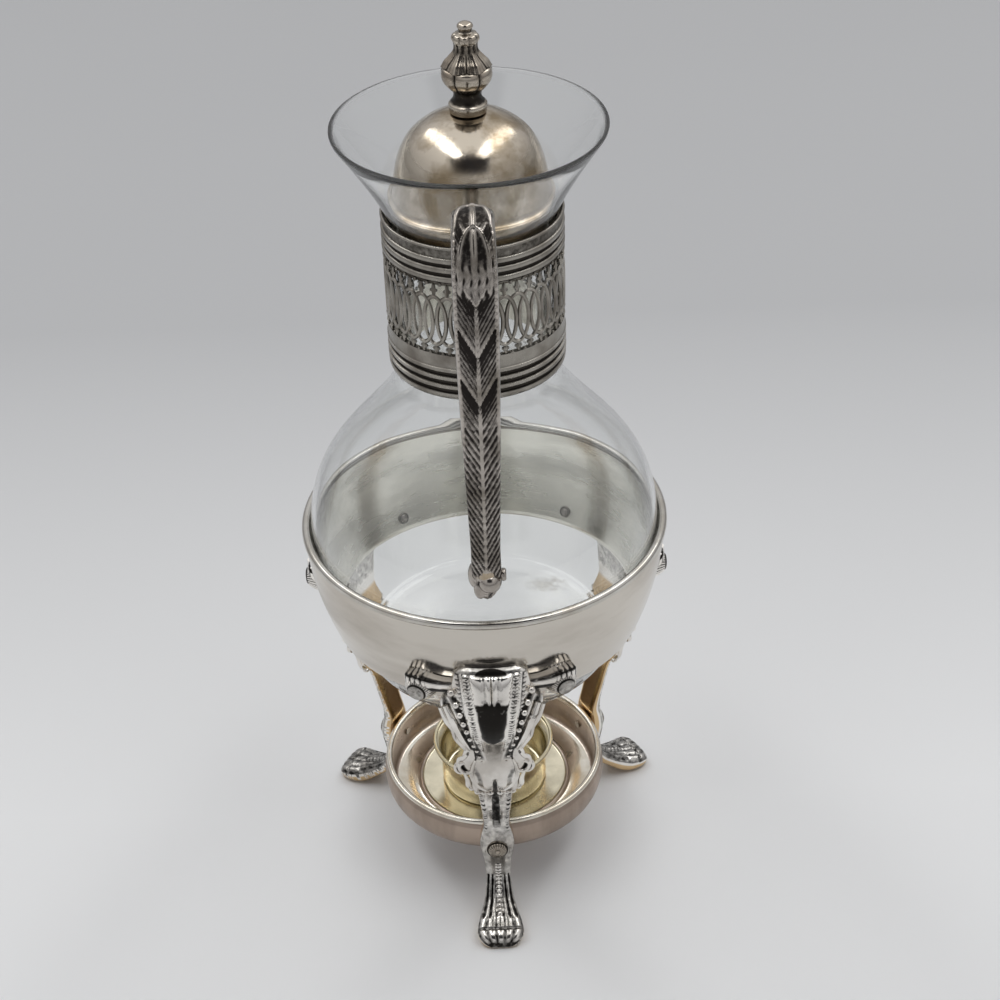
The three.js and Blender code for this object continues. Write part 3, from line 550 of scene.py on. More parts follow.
def make_collar():
    column = belt_column()
    bm = bmesh.new()
    for _ in range(lattice_count):
        bm.from_mesh(column)
        column.transform(Matrix.Rotation(TURN / lattice_count, 4, "Z"))
    bpy.data.meshes.remove(column)
    hollow_and_shading = bm.verts.layers.float["hollow_and_shading"]
    flare = [(p[0] + 0.3, p[1]) for p in glass_outside if neck_top < p[1] < collar_top]
    upper = upper_band()
    lathe(bm, upper + [(collar_wall, lattice_top), (collar_wall, neck_top), *flare, upper[0]], 168)
    lower = lower_band()
    lathe(bm, lower + [(collar_wall, collar_bottom), (collar_wall, lattice_bottom), lower[0]], 168)
    for vert in bm.verts:
        radius = math.hypot(vert.co.x, vert.co.y)
        depth = collar_radius - radius
        if lattice_bottom + 0.01 < vert.co.z < lattice_top - 0.01:
            continue
        # Pale inside, a painted light; dark in the grooves and dull in the recess under the lip
        inner = depth > 2.2 or vert.co.z > neck_top + 1 and depth > 1.2
        vert[hollow_and_shading] = -1 if inner else 1.2 * step(0.35, groove, depth)
        if collar_top - 4.2 < vert.co.z < collar_top - 0.9 and not inner:
            vert[hollow_and_shading] = 0.62
    for side in (-1, 1):
        lug_plate(bm, side)
    finish_piece(bm, "collar_bands", collar_finish, "carafe", ["neck_collar"], crease=50)


def lug_plate(bm, side):
    """One of the two lugs that the screws draw together on the handle's tongue."""
    thickness = 1.6
    middle_x = side * (2.5 + thickness / 2)
    reach = (collar_radius - 2, collar_radius + 8)
    plate = bmesh.ops.create_cube(bm, size=1)["verts"]
    bmesh.ops.scale(bm, verts=plate, vec=(thickness, reach[1] - reach[0], 22))
    bmesh.ops.translate(bm, verts=plate, vec=(middle_x, -sum(reach) / 2, lattice_bottom + 13))


# Handle. Its line is in the plane x = 0, as (reach from the axis, height).
handle_half = 2.9
handle_width = 6.9
handle_reach = axis_y - low("handle").y - handle_half
handle_crest = high("handle").z - handle_half
bud_tip = low("handle").z
scroll_height = bud_tip + 4.6
handle_drop = handle_crest - scroll_height
lug_end = collar_radius + 8
handle_line = [(mix(lug_end, handle_reach, r), handle_crest - z * handle_drop) for r, z in (
    (0.075, 0.36), (0.158, 0.235), (0.352, 0.075), (0.584, 0), (0.815, 0.055), (0.954, 0.22), (1, 0.42),
    (0.978, 0.66), (0.908, 0.86), (0.843, 1))]
handle_widths = [(-0.028, 0.66), (-0.016, 0.82), (0.02, 0.96), (0.1, 1), (0.25, 0.98), (0.5, 0.88),
                 (0.72, 0.76), (0.86, 0.69), (0.98, 0.72), (1.045, 0.6)]


def leaf(s, place, tip, reach, width):
    """A leaf that opens down the handle from its tip: how high it stands and how hollow it is."""
    share = (place - tip) / reach
    if share <= 0:
        return 0, 0, 0
    edge = width * math.sqrt(1 - (1 - min(share, 1)) ** 2) - abs(s)
    if edge <= 0:
        return 0, 0, 0
    rim = hump(edge, 0.09, 0.14)
    rib = hump(s, 0, 0.13)
    inside = step(0.1, 0.25, edge) * (1 - rib)
    return 1, 0.35 + 0.6 * rim + 0.45 * rib - 0.25 * inside, inside


def chevrons(s, place, start, pitch, slant, veins):
    """Overlapping leaves that point down the handle, the first with its point at start."""
    phase = (place - start + slant * abs(s)) / pitch
    part = phase - math.floor(phase)
    vein = 0.5 + 0.5 * math.cos(TURN * phase * veins)
    rib = hump(s, 0, 0.1)
    height = 0.8 * part ** 1.5 - 0.2 * (1 - vein) + 0.35 * rib
    hollow_and_shading = 0.15 + 0.6 * step(0.62, 0.0, part) + 0.6 * (1 - vein) - 0.8 * rib
    return height, hollow_and_shading - 0.7 * step(0.86, 0.96, part)


def handle_relief(s, place):
    """Height and hollow at a share s across the handle and a distance down it from its crest."""
    fine = step(60, 72, place)
    bold = chevrons(s, place, 28, 16.0, 12.0, 8)
    feather = chevrons(s, place, 66, 3.3, 11.0, 1)
    height = mix(bold[0], 0.65 * feather[0], fine)
    hollow_and_shading = mix(bold[1] + 0.2, feather[1], fine)
    flower = step(9, 13, place) * (1 - step(21, 23.5 + 6.5 * (1 - abs(s)), place))
    if flower > 0:
        petals = math.cos(19 * s + 0.6 * math.sin(place * 0.9))
        petals *= 0.65 + 0.35 * math.sin(place * 1.6 + 4 * s * s)
        height = mix(height, 0.4 + 0.4 * petals, flower)
        hollow_and_shading = mix(hollow_and_shading, 0.05 - 1.2 * petals, flower)
    # Painted dark reflection with a painted highlight: the plain stretch up to the crest is painted near
    # black, with a lighter line down its middle.
    plain = 1 - step(-6, 1, place)
    height = mix(height, 0.2 + 0.2 * hump(s, 0, 0.3), plain)
    hollow_and_shading = mix(hollow_and_shading, 0.92 - 1.4 * hump(s, 0, 0.25), plain)
    for tip, reach, leaf_width in ((-3.5, 8, 0.98), (5, 10, 0.76)):
        inside, raised, dished = leaf(s, place, tip, reach, leaf_width)
        fade = 1 - step(tip + reach * 0.8, tip + reach * 1.5, place)
        if inside:
            height = mix(height, raised + 0.3, fade)
            hollow_and_shading = mix(hollow_and_shading, 1.15 * dished - 0.3, fade)
    border = step(0.80, 0.86, abs(s)) * step(2, 8, place) * (1 - step(60, 90, place))
    bead = 0.5 + 0.5 * abs(math.sin(math.pi * place / 2.1))
    height = mix(height, 0.7 * bead, border)
    hollow_and_shading = mix(hollow_and_shading, 0.5 - 0.5 * bead, border)
    return height, max(hollow_and_shading, -0.4)


def bulge_at(s):
    """How thick a flattened section is at a share s across, as a share."""
    return max(1 - abs(s) ** 3.2, 0) ** (1 / 3.2)


def section(u):
    """A place round a flattened section: its share across, its side and its thickness share."""
    side = 1 if u < 0.5 else -1
    turn = 2 * u if u < 0.5 else 2 * u - 1
    s = side * (0.4 * math.cos(math.pi * turn) + 0.6 * (1 - 2 * turn))
    return s, side, bulge_at(s)


def make_handle():
    line = flow(handle_line, 56)
    lengths = [0.0]
    for (r0, z0), (r1, z1) in zip(line, line[1:]):
        lengths.append(lengths[-1] + math.hypot(r1 - r0, z1 - z0))
    crest = lengths[max(range(len(line)), key=lambda i: line[i][1])]
    normals = [(b[0] - a[0], b[1] - a[1]) for a, b in zip(line, offset(line, 1))]

    def place(u, v):
        i = round(v * (len(line) - 1))
        (r, z), (nr, nz) = line[i], normals[i]
        s, side, bulge = section(u)
        width = handle_width * linear(handle_widths, (handle_crest - z) / handle_drop)
        if lengths[i] < crest:
            width *= mix(0.62, 1, step(0, 0.75, lengths[i] / crest))
        half = handle_half * mix(0.97, 0.75, i / (len(line) - 1)) - 0.55
        end = math.sqrt(max(1 - max((lengths[i] - lengths[-1] + 5) / 7, 0) ** 2, 0))
        out = side * half * bulge
        hollow_and_shading = 0.1
        if side > 0:
            height, hollow_and_shading = handle_relief(s, lengths[i] - crest)
            out += height * min(bulge * 1.4, 1) * 0.95
        else:
            out -= 0.35 * hump(s, 0, 0.5)
        x = s * width * mix(0.6, 1, end)
        return Vector((x, -(r + nr * out * end), z + nz * out * end)), hollow_and_shading

    bm = bmesh.new()
    skin(bm, 84, len(line) - 1, place)
    tongue_half = 2.2
    tongue = [(collar_radius + 0.3, 2.3), (collar_radius + 0.3, 23.7), (lug_end + 0.3, 23.7),
              (lug_end + 1.2, 27), (lug_end + 5.2, 25), (lug_end + 4.4, 14), (lug_end - 1, 4)]
    face = bm.faces.new([bm.verts.new((-tongue_half, -r, lattice_bottom + z)) for r, z in tongue])
    top = bmesh.ops.extrude_face_region(bm, geom=[face])["geom"]
    moved = [v for v in top if isinstance(v, bmesh.types.BMVert)]
    bmesh.ops.translate(bm, verts=moved, vec=(2 * tongue_half, 0, 0))
    end_bud(bm)
    finish_piece(bm, "handle_casting", handle_finish, "carafe", ["handle"], crease=55)


def end_bud(bm):
    """The free end closes in a small furled bud, with a crest at its left, a ball in front and a button at
    its right."""
    end = Vector((0, -handle_line[-1][0], bud_tip))
    tall = 15.5
    outline = [(0.0, 3.4), (0.14, 4.4), (0.32, 4.9), (0.5, 4.9), (0.66, 4.3), (0.8, 3.1), (0.92, 1.7),
               (1, 0.1)]

    def bud_place(u, v):
        angle = TURN * u
        fold = abs(math.cos(2.5 * (angle + TURN * 0.12 * v))) ** 0.5
        radius = at(outline, v) * (0.84 + 0.16 * fold)
        golden = step(0.06, 0.16, v) * step(0.42, 0.3, v) * (0.5 - 0.5 * math.sin(angle)) ** 0.5
        out = Vector((radius * math.cos(angle), 0.82 * radius * math.sin(angle), tall * (1 - v)))
        return end + out, mix(1.1 * (1 - fold) + 0.15, -0.76, golden)

    skin(bm, 40, 26, bud_place)
    hollow_and_shading = bm.verts.layers.float["hollow_and_shading"]
    for place, radius, u, v, stretch in (((-4.0, -0.2, 10.4), 2.1, 16, 10, 2.4),
                                         ((-2.2, -1.2, 5.4), 2.2, 16, 10, 1.8),
                                         ((0.9, -1.9, 8.3), 3.6, 32, 20, 1)):
        for vert in ball(bm, end + Vector(place), radius, u, v, (1, 1, stretch)):
            vert[hollow_and_shading] = -0.2
    button = [(0, 1.5), (1.5, 1.5), (2.0, 1.2), (2.2, 0.6), (2.0, 0), (1.6, -0.5), (1.6, -2.5), (0, -2.5)]
    matrix = Matrix.Translation(end + Vector((4.9, -0.6, 10.4))) @ Matrix.Rotation(math.pi / 2, 4, "Y")
    spun(bm, button, matrix, 20, hollow_rule={5: 0.8, 6: 0.8})


# Bowl
bowl_wall = 1.2


def radius_at(outline, height):
    for (r0, z0), (r1, z1) in zip(outline, outline[1:]):
        if z0 <= height <= z1:
            return mix(r0, r1, (height - z0) / (z1 - z0))
    return outline[0][0] if height < outline[0][1] else outline[-1][0]


def bowl_inner(z):
    return radius_at(glass_outside, z) + mix(1.7, 0.8, (z - bowl_bottom) / (wall_top - bowl_bottom))


def bowl_outer(z):
    return bowl_inner(z) + bowl_wall


def make_bowl():
    steps = 26
    levels = [mix(bowl_bottom + 0.5, wall_top, i / steps) for i in range(steps + 1)]
    outside = [(bowl_outer(z), z) for z in levels]
    inside = [(bowl_inner(z), z) for z in reversed(levels)]
    lower = [(inside[-1][0] + 0.2, bowl_bottom + 0.12), (inside[-1][0] + 0.6, bowl_bottom),
             (outside[0][0] - 0.2, bowl_bottom + 0.12)]
    bm = bmesh.new()
    hollow_and_shading = bm.verts.layers.float.new("hollow_and_shading")
    lathe(bm, outside + inside + lower + [outside[0]], 180)
    for vert in bm.verts:
        # The inside gets the pale back colour, a painted light.
        vert[hollow_and_shading] = -1 if math.hypot(vert.co.x, vert.co.y) < bowl_inner(vert.co.z) + 0.3 else 0
    finish_piece(bm, "bowl_shell", bowl_finish, "stand", ["warmer_bowl"], crease=60)
    wire = 1.55
    bm = bmesh.new()
    lathe(bm, arc(rim_radius - wire, (rim_top + rim_bottom) / 2, wire, 0, 24, 12), 180)
    finish_piece(bm, "bowl_rolled_rim", rim_finish, "stand", ["bowl_rim"])


rivet_angle = 26
leg_turns = (0, TURN / 3, -TURN / 3)
leg_names = ("front", "right", "left")


def frame_at(place, side, out):
    """A frame at a place, with its +X to the side and its +Z outwards."""
    return Matrix.Translation(place) @ Matrix((side, out.cross(side), out)).transposed().to_4x4()


def aimed(place, azimuth, rise):
    """A frame at a place whose +Z points outwards at an angle from the front and that much up."""
    out = Vector((math.sin(azimuth) * math.cos(rise), -math.cos(azimuth) * math.cos(rise), math.sin(rise)))
    return frame_at(place, Vector((math.cos(azimuth), math.sin(azimuth), 0)), out)


def wall_frame(angle, height):
    """A frame on the bowl's outside at an angle from the front and a height, with its +Z on the normal."""
    slope = math.atan2(bowl_inner(height + 4) - bowl_inner(height - 4), 8)
    radius = bowl_outer(height)
    return aimed(Vector((radius * math.sin(angle), -radius * math.cos(angle), height)), angle, -slope)


def spun(bm, outline, matrix, segments, ribs=0, depth=0.0, rib_range=(0, 0), hollow_rule=None):
    """A turned detail with its axis on a matrix's +Z. The rows of its outline in rib_range are milled with
    ribs, and hollow_rule says which rows are how hollow."""

    def place(u, v):
        i = round(v * (len(outline) - 1))
        r, h = outline[i]
        turn = TURN * u
        ribbed = ribs and rib_range[0] <= i <= rib_range[1]
        wave = abs(math.cos(ribs / 2 * turn)) ** 0.7 if ribbed else 1
        r += depth * (wave - 1)
        hollow_and_shading = (1 - wave) * 1.1 + (hollow_rule or {}).get(i, 0)
        return matrix @ Vector((r * math.cos(turn), r * math.sin(turn), h)), hollow_and_shading

    skin(bm, segments, len(outline) - 1, place)


def make_rivets():
    rivet_height = sum(heights("bowl_rivet_1")) / 2
    bm = bmesh.new()
    head = [(0, 1.0), (1.0, 0.9), (1.5, 0.62), (1.7, 0.3), (1.85, 0.3), (2.1, 0.5), (2.3, 0.3), (2.35, 0),
            (1.4, -0.1), (1.4, -1.4), (0, -1.4)]
    for turn in leg_turns:
        for side in (-1, 1):
            wall = wall_frame(turn + side * math.radians(rivet_angle), rivet_height)
            inward = wall @ Matrix.Translation((0, 0, -bowl_wall - 0.1)) @ Matrix.Rotation(math.pi, 4, "X")
            spun(bm, head, inward, 28, hollow_rule={3: 0.8, 4: 0.8})
    finish_piece(bm, "bowl_rivet_heads", rivet_finish, "stand",
                 [f"bowl_rivet_{i + 1}" for i in range(6)])


# Legs. The front one is made and the others are turned copies of it.
rosette_z = (tray_bottom + tray_top) / 2

# The legs' backs are golden up to the first height and grey from the second
gold_top, grey_bottom = 92, 101
ledge_bottom = 130.7
cartouche_lip = 122.4
foot_top = 22

# Height, reach of the face, reach of the back and half width
shank_rows = [
    (132.3, 64.4, 62.8, 9.4), (131.5, 65.7, 62.6, 11.4), (130, 67.3, 62.3, 12.9), (127.4, 68.6, 61.8, 13.8),
    (124, 69.7, 61.2, 14.5), (120, 70.9, 60.2, 17.0), (116, 71.5, 59.6, 18.2), (112, 71.5, 59.0, 16.2),
    (108.6, 71.0, 59.0, 14.4), (104.5, 69.8, 59.2, 13.6), (100.8, 68.2, 59.4, 13.0), (97, 66.3, 59.2, 11.7),
    (93.4, 64.5, 58.6, 10.5), (88, 62.3, 57.2, 11.3), (84, 60.9, 56.0, 12.0), (80, 59.7, 54.8, 11.5),
    (76, 58.5, 53.6, 9.7), (72, 57.3, 52.6, 8.8), (67.5, 55.9, 51.4, 8.6), (65.2, 54.8, 50.6, 8.4),
    (63.8, 53.2, 49.8, 7.0), (59, 51.6, 48.4, 6.3), (51, 49.9, 46.6, 5.5), (45, 48.6, 44.9, 5.1),
    (40, 48.3, 43.3, 5.2), (36, 49.2, 43.1, 6.2), (32, 49.6, 43.1, 6.6), (27, 49.2, 43.0, 6.0),
    (22, 48.6, 43.2, 5.2), (17, 48.9, 44.2, 4.8)]
# Reach and height of the foot's top, the same of its sole, and its half width
foot_rows = [
    (48.4, 22.5, 44.2, 21.0, 4.9), (48.6, 19.0, 44.4, 17.5, 4.7), (49.3, 15.8, 45.8, 13.6, 4.8),
    (51.6, 12.6, 48.2, 9.2, 5.2), (55.2, 9.8, 52.2, 5.4, 5.9), (59.6, 8.0, 57.0, 1.6, 7.4),
    (63.6, 6.9, 61.0, 0.1, 8.5), (67.2, 6.3, 65.4, 0, 8.9), (69.8, 5.0, 68.4, 0, 8.0),
    (71.0, 3.2, 70.2, 0, 6.2), (71.4, 1.4, 70.9, 0.2, 4.0)]


def wrapped(x, reach, z):
    """A point at a distance x round from the front, at that reach from the axis."""
    turn = x / max(reach, 1)
    return Vector((reach * math.sin(turn), -reach * math.cos(turn), z))


def casting(bm, rows, relief, around, dense):
    """A thick skin between a face line and a back line. At x round from the middle, a height z, a share v
    of the line and a share s across, relief(x, z, v, s) says how high the face is and gives its mark of
    hollows and painted shade."""
    line = flow(rows, dense)

    def place(u, v):
        face_r, face_z, back_r, back_z, width = line[round(v * (len(line) - 1))]
        s, side, bulge = section(u)
        share = mix(0.5, 1.0 if side > 0 else 0.0, bulge)
        out = Vector((face_r - back_r, face_z - back_z)).normalized()
        height, hollow_and_shading = 0, mix(-1, 0.5, step(gold_top, grey_bottom, face_z))
        if side > 0:
            height, hollow_and_shading = relief(s * width, face_z, v, s)
        height *= min(bulge * 1.2, 1)
        r = mix(back_r, face_r, share) + out.x * height
        z = mix(back_z, face_z, share) + out.y * height
        return wrapped(s * width, r, max(z, 0)), hollow_and_shading

    skin(bm, around, len(line) - 1, place)


def cartouche_half(z):
    return at([(102.4, 0.0), (103.1, 2.4), (104.8, 3.6), (107, 4.1), (116, 5.0), (124, 6.3), (130, 7.4)], z)


# Height and distance from the middle of the rows beside the cartouche
ladder_line = [(93, 4.3), (105, 6.0), (116, 7.2), (124, 8.2), (130, 8.9)]
bead_line = [(86.5, 4.4), (90, 5.2), (94.5, 6.0), (99, 7.0), (104, 8.2), (108.6, 9.2), (112.5, 10.2),
             (116.5, 11.3), (120.3, 12.6), (124, 14.0)]
strand_line = [(95.3, 8.4), (100, 9.9), (105, 11.4), (112.6, 13.7), (119.5, 16.4)]


def shank_relief(x, z, v, s):
    """The leg's face: a ledge, a cartouche between ladders, beads and strands, and a slotted stem."""
    across = abs(x)
    if z > ledge_bottom:
        # The middle of the ledge's top is painted dark, a painted dark reflection.
        knob = (across / 5.4) ** 2 + ((z - ledge_bottom) / 1.5) ** 2
        return 0.2, 0.5 + 0.65 * step(1.15, 0.85, knob)
    if z > 86:
        half = cartouche_half(z)
        if across < half:
            swell = 0.5 + 1.3 * math.sqrt(1 - (x / half) ** 2)
            crease = max(hump(across, 0, 0.35), 0.7 * hump(across, 0.34 * half, 0.9))
            lip = cartouche_lip - 0.8 * (across / half) ** 2
            # Painted dark reflection: the cartouche's lower middle is painted near black.
            dark = step(lip + 0.9, lip - 1.3, z)
            return swell - 0.7 * crease * (1 - 0.8 * dark), crease - 0.3 + 1.25 * dark
        beside = linear(ladder_line, z)
        rows = step(93, 99, z)
        ladder = hump(across, beside, 1.0)
        rung = abs(math.sin(math.pi * z / 1.15))
        line = hump(across, beside + 1.5, 0.4)
        dots = hump(across, beside + 3.1, 0.6) * step(110, 113, z)
        dotted = abs(math.sin(math.pi * z / 1.5))
        beads = hump(across, linear(bead_line, z), 1.7) * step(86, 90, z) * step(124, 122, z)
        strand = hump(across, linear(strand_line, z), 2.0) * step(93, 97, z) * step(122, 120, z)
        height = rows * (0.65 * ladder * rung + 0.5 * line) - 0.35 * beads - 0.4 * strand
        height += 0.5 * dots * dotted
        hollow_and_shading = rows * (1.2 * (1 - rung) * step(0, 0.4, ladder) - 0.4 * line)
        hollow_and_shading += 0.95 * beads + 0.85 * strand + (1 - dotted) * step(0, 0.4, dots)
        hollow_and_shading += 0.7 * hump(across, beside + 2.3, 0.35) + 0.5 * rows * hump(across, half + 0.15, 0.3)
        return height, hollow_and_shading
    slot_half = linear([(42, 1.6), (58, 1.45), (68, 1.0), (74, 0.7)], z)
    slot = step(slot_half, slot_half - 0.45, across) * step(74.5, 71.5, z) * step(40.4, 43, z)
    if z > 66:
        border = hump(abs(s), 0.84, 0.14) * step(86, 80, z)
        furrow = hump(abs(s), 0.60, 0.12) * step(86, 78, z)
        return 0.6 * border - 1.1 * slot - 0.35 * furrow, 0.8 * slot + 0.6 * furrow - 0.3 * border
    if z > 39:
        border = hump(abs(s), 0.80, 0.16)
        rung = abs(math.sin(math.pi * z / 1.4)) if z < 62 else 1
        hollow_and_shading = 0.85 * slot + 1.1 * border * (1 - rung)
        return 0.5 * border * rung - 1.1 * slot, max(hollow_and_shading, linear([(40, 0.48), (66, 0.28)], z))
    return 0.25 * hump(abs(s), 0.9, 0.2) * step(26, 30, z), 0.48


def foot_relief(x, z, v, s):
    """The foot's face: a ladder down its instep, flutes beside that, and a lobed toe."""
    ladder = hump(x, 0, 1.15) * (1 - step(0.48, 0.56, v))
    rung = abs(math.sin(math.pi * v * 26))
    flutes = abs(math.cos(math.pi * 3.1 * s)) ** 0.7
    toe = step(0.52, 0.58, v)
    tier = hump(v, 0.68, 0.022)
    lobes = abs(math.cos(math.pi * 2.6 * s)) ** 0.5
    height = 0.75 * ladder * (0.45 + 0.55 * rung) - 0.75 * (1 - flutes) * step(0.08, 0.2, v) * (1 - toe)
    height += toe * (0.55 * lobes - 0.5) - 0.5 * tier
    crest = 0.50 + (1 - flutes) * 1.1 * step(0.08, 0.2, v)
    hollow_and_shading = mix(crest, 0.28 + (1 - lobes) * 1.3, toe) + 0.8 * tier
    if ladder:
        hollow_and_shading = 0.9 * (1 - rung)
    # The toe's lowest edge is painted dark, a painted shadow where it meets the floor.
    edge = step(0.86, 0.93, v)
    return height, mix(min(hollow_and_shading, mix(0.85, 0.78, toe)), 0.85, edge)


def on_face(x, z, proud=0.0):
    """A point on the leg's face."""
    rows = [(row[0], row[1]) for row in reversed(shank_rows)]
    widths = [(row[0], row[3]) for row in reversed(shank_rows)]
    s = min(abs(x) / linear(widths, z), 1)
    reach = linear(rows, z) - 2.2 * (1 - bulge_at(s))
    return wrapped(x, reach + proud, z)


def tube(bm, points, radii):
    """A round bar through points, with a radius at each."""
    line = flow([(*p, r) for p, r in zip(points, radii)], 6)
    middles = [Vector(row[:3]) for row in line]
    no_run = Vector((0.31, 0.17, 0.94))

    def place(u, v):
        i = round(v * (len(line) - 1))
        run = (middles[min(i + 1, len(line) - 1)] - middles[max(i - 1, 0)]).normalized()
        side = run.cross(no_run).normalized()
        up = side.cross(run)
        turn = TURN * u
        return middles[i] + line[i][3] * (math.cos(turn) * side + math.sin(turn) * up), 0.0

    skin(bm, 10, len(line) - 1, place)


def wing_band(bm):
    """The arms that run along the bowl from one scroll to the other, with a thin lip on top drawn as a dark
    line of painted shade below it; their lower half is painted dark, painted shade.
    """
    reach = math.radians(rivet_angle + 1.5)
    tops = [(0, 129.0), (0.15, 128.4), (0.35, 125.6), (0.55, 125.6), (0.85, 127.3), (1, 126.9)]
    bottoms = [(0, 121.0), (0.4, 120.2), (0.65, 119.8), (0.82, 118.5), (1, 117.5)]
    prouds = [(0, 1.6), (0.25, 2.6), (0.5, 4.4), (0.8, 5.6), (1, 5.0)]

    def place(u, v):
        turn = mix(-reach, reach, v)
        share = abs(turn) / reach
        top, bottom, proud = (at(table, share) for table in (tops, bottoms, prouds))
        end = math.sqrt(max(1 - max((share - 0.93) / 0.075, 0) ** 2, 0.0))
        middle = (top + bottom) / 2
        height = math.copysign(abs(math.sin(TURN * u)) ** 0.6, math.sin(TURN * u))
        out = math.cos(TURN * u)
        z = middle + (top - middle) * height * mix(0.7, 1, end)
        front = max(out, 0) ** 0.5
        r = bowl_outer(min(max(z, bowl_bottom), wall_top)) + 0.3 + proud * front * mix(0.5, 1, end)
        gadroon = abs(math.cos(math.pi * share * 16)) if 0.72 < share < 0.99 else 1
        r -= 0.6 * (1 - gadroon ** 0.6) * front
        # Painted shade: a dark line under the top edge, and the lower half of the front, which faces down,
        # are painted dark.
        lip = hump(height, 0.88, 0.08) * (1 if out > 0 else 0)
        under = step(0.25, -0.05, height)
        shade = (1 - gadroon) * 1.1 + 0.9 * lip + under if front else 0.3
        return Vector((r * math.sin(turn), -r * math.cos(turn), z)), shade

    skin(bm, 64, 170, place)


# The side scroll: its outline, where its end is, how far it is set back from there, and how it is aimed
scroll = [(0, 7.4), (3.05, 7.4), (3.3, 7.0), (3.9, 6.6), (4.9, 5.2), (5.8, 3.4), (6.4, 1.4), (6.4, -2),
          (0, -2)]
scroll_place = (26.0, -61.7, 120.7)
scroll_depth = 6.4
scroll_turn = math.radians(24)
scroll_rise = math.radians(-6)

# Bars on the leg's face: distances from the middle with heights, radii, and how proud they lie
leg_bars = [
    ([(x, z) for z, x in reversed(strand_line)], [1.0, 1.25, 1.1, 1.0, 0.6], 0.1),
    ([(18.0, 117), (16.0, 112), (13.9, 108), (13.3, 101), (11.6, 97), (10.2, 93)],
     [1.0, 1.2, 1.2, 1.1, 1.0, 0.7], -0.8),
    ([(9.4, 91), (10.9, 87.6), (12.6, 84.5), (13.4, 80.5)], [0.5, 0.85, 0.9, 0.6], 0.1),
    ([(6.6, 88), (8.0, 82), (8.2, 76), (6.6, 70.5), (3.4, 67.4)], [0.4, 0.8, 0.95, 0.8, 0.6], 0.2),
    ([(11.0, 76), (9.9, 71.5), (9.7, 68), (8.6, 65.8)], [0.6, 1.0, 1.2, 0.8], 0.1)]


def make_leg_mesh(bm):
    for side in (-1, 1):
        x, y, z = scroll_place
        matrix = aimed((side * x, y, z), side * scroll_turn, scroll_rise)
        matrix = matrix @ Matrix.Translation((0, 0, -scroll_depth))
        spun(bm, scroll, matrix, 112, ribs=28, depth=0.6, rib_range=(3, 7),
             hollow_rule={0: 0.6, 1: 0.6, 2: 1.2})
    # What would stand inside the bowl is pushed out to its wall
    for vert in bm.verts:
        radius = math.hypot(vert.co.x, vert.co.y)
        wall = bowl_inner(vert.co.z) + 0.5
        if radius < wall:
            vert.co = Vector((vert.co.x * wall / radius, vert.co.y * wall / radius, vert.co.z))
    for side in (-1, 1):
        for i, (z, x) in enumerate(bead_line):
            ball(bm, on_face(side * x, z, -0.1), mix(0.5, 1.45, i / (len(bead_line) - 1)))
        for x, z, ring, wire in ((10.3, 81.6, 2.4, 0.75), (12.3, 78.6, 2.0, 0.65)):
            eye(bm, side * x, z, ring, wire)
        for points, radii, proud in leg_bars:
            tube(bm, [on_face(side * x, z, proud) for x, z in points], radii)
        for x in (1.8, 4.2, 6.5, 8.6):
            ball(bm, on_face(side * x, 65.2), 1.25, stretch=(1, 1, 0.75))
    wing_band(bm)
    casting(bm, foot_rows, foot_relief, 96, 14)
    casting(bm, [(r, z, back, z, width) for z, r, back, width in shank_rows], shank_relief, 148, 9)


def eye(bm, x, z, ring, wire):
    """A small scroll with a dark middle on the leg's face."""
    middle = on_face(x, z, 0.2)
    out = Vector((middle.x, middle.y, 0)).normalized()
    outline = [(0, -0.4), (ring - wire, -0.3), *reversed(arc(ring, 0, wire, 0, 6, 6)), (ring + wire, -1.0),
               (0, -1.0)]
    matrix = frame_at(middle, Vector((-out.y, out.x, 0)), out)
    spun(bm, outline, matrix, 24, hollow_rule={0: 1.5, 1: 1.4, 2: 0.9})


def turned_copy(bm, turn):
    copy = bm.copy()
    bmesh.ops.rotate(copy, cent=(0, 0, 0), matrix=Matrix.Rotation(turn, 3, "Z"), verts=copy.verts)
    return copy


def make_legs():
    leg = bmesh.new()
    make_leg_mesh(leg)
    rosette = bmesh.new()
    petals = [(0, 1.5), (0.7, 1.5), (0.9, 1.25), (1.3, 1.35), (2.6, 1.3), (3.2, 1.05), (3.45, 0.6),
              (3.5, 0.2), (4.0, 0.15), (4.1, -0.3), (0, -0.3)]
    front = Matrix.Translation((0, -(tray_radius + 7.25), rosette_z)) @ Matrix.Rotation(math.pi / 2, 4, "X")
    spun(rosette, petals, front, 120, ribs=20, depth=0.42, rib_range=(3, 6),
         hollow_rule={2: 0.7, 7: 1.1, 8: 0.9})
    bmesh.ops.create_cone(rosette, cap_ends=True, segments=16, radius1=1.4, radius2=1.4, depth=10,
                          matrix=front @ Matrix.Translation((0, 0, -5.2)))
    hollow_and_shading = leg.verts.layers.float["hollow_and_shading"]
    for name, turn in zip(leg_names, leg_turns):
        finish_piece(turned_copy(leg, turn), f"leg_casting_{name}", leg_finish, "stand",
                     [f"leg_{name}"], crease=55)
        if name == "front":
            # The two feet behind are painted darker: painted shade
            for vert in leg.verts:
                if vert.co.z < foot_top and vert[hollow_and_shading] > -0.5:
                    vert[hollow_and_shading] = mix(vert[hollow_and_shading], 0.72, 0.7)
        finish_piece(turned_copy(rosette, turn), f"rosette_{name}", aged_finish, "stand",
                     [f"tray_screw_{name}"], crease=50)
    leg.free()
    rosette.free()


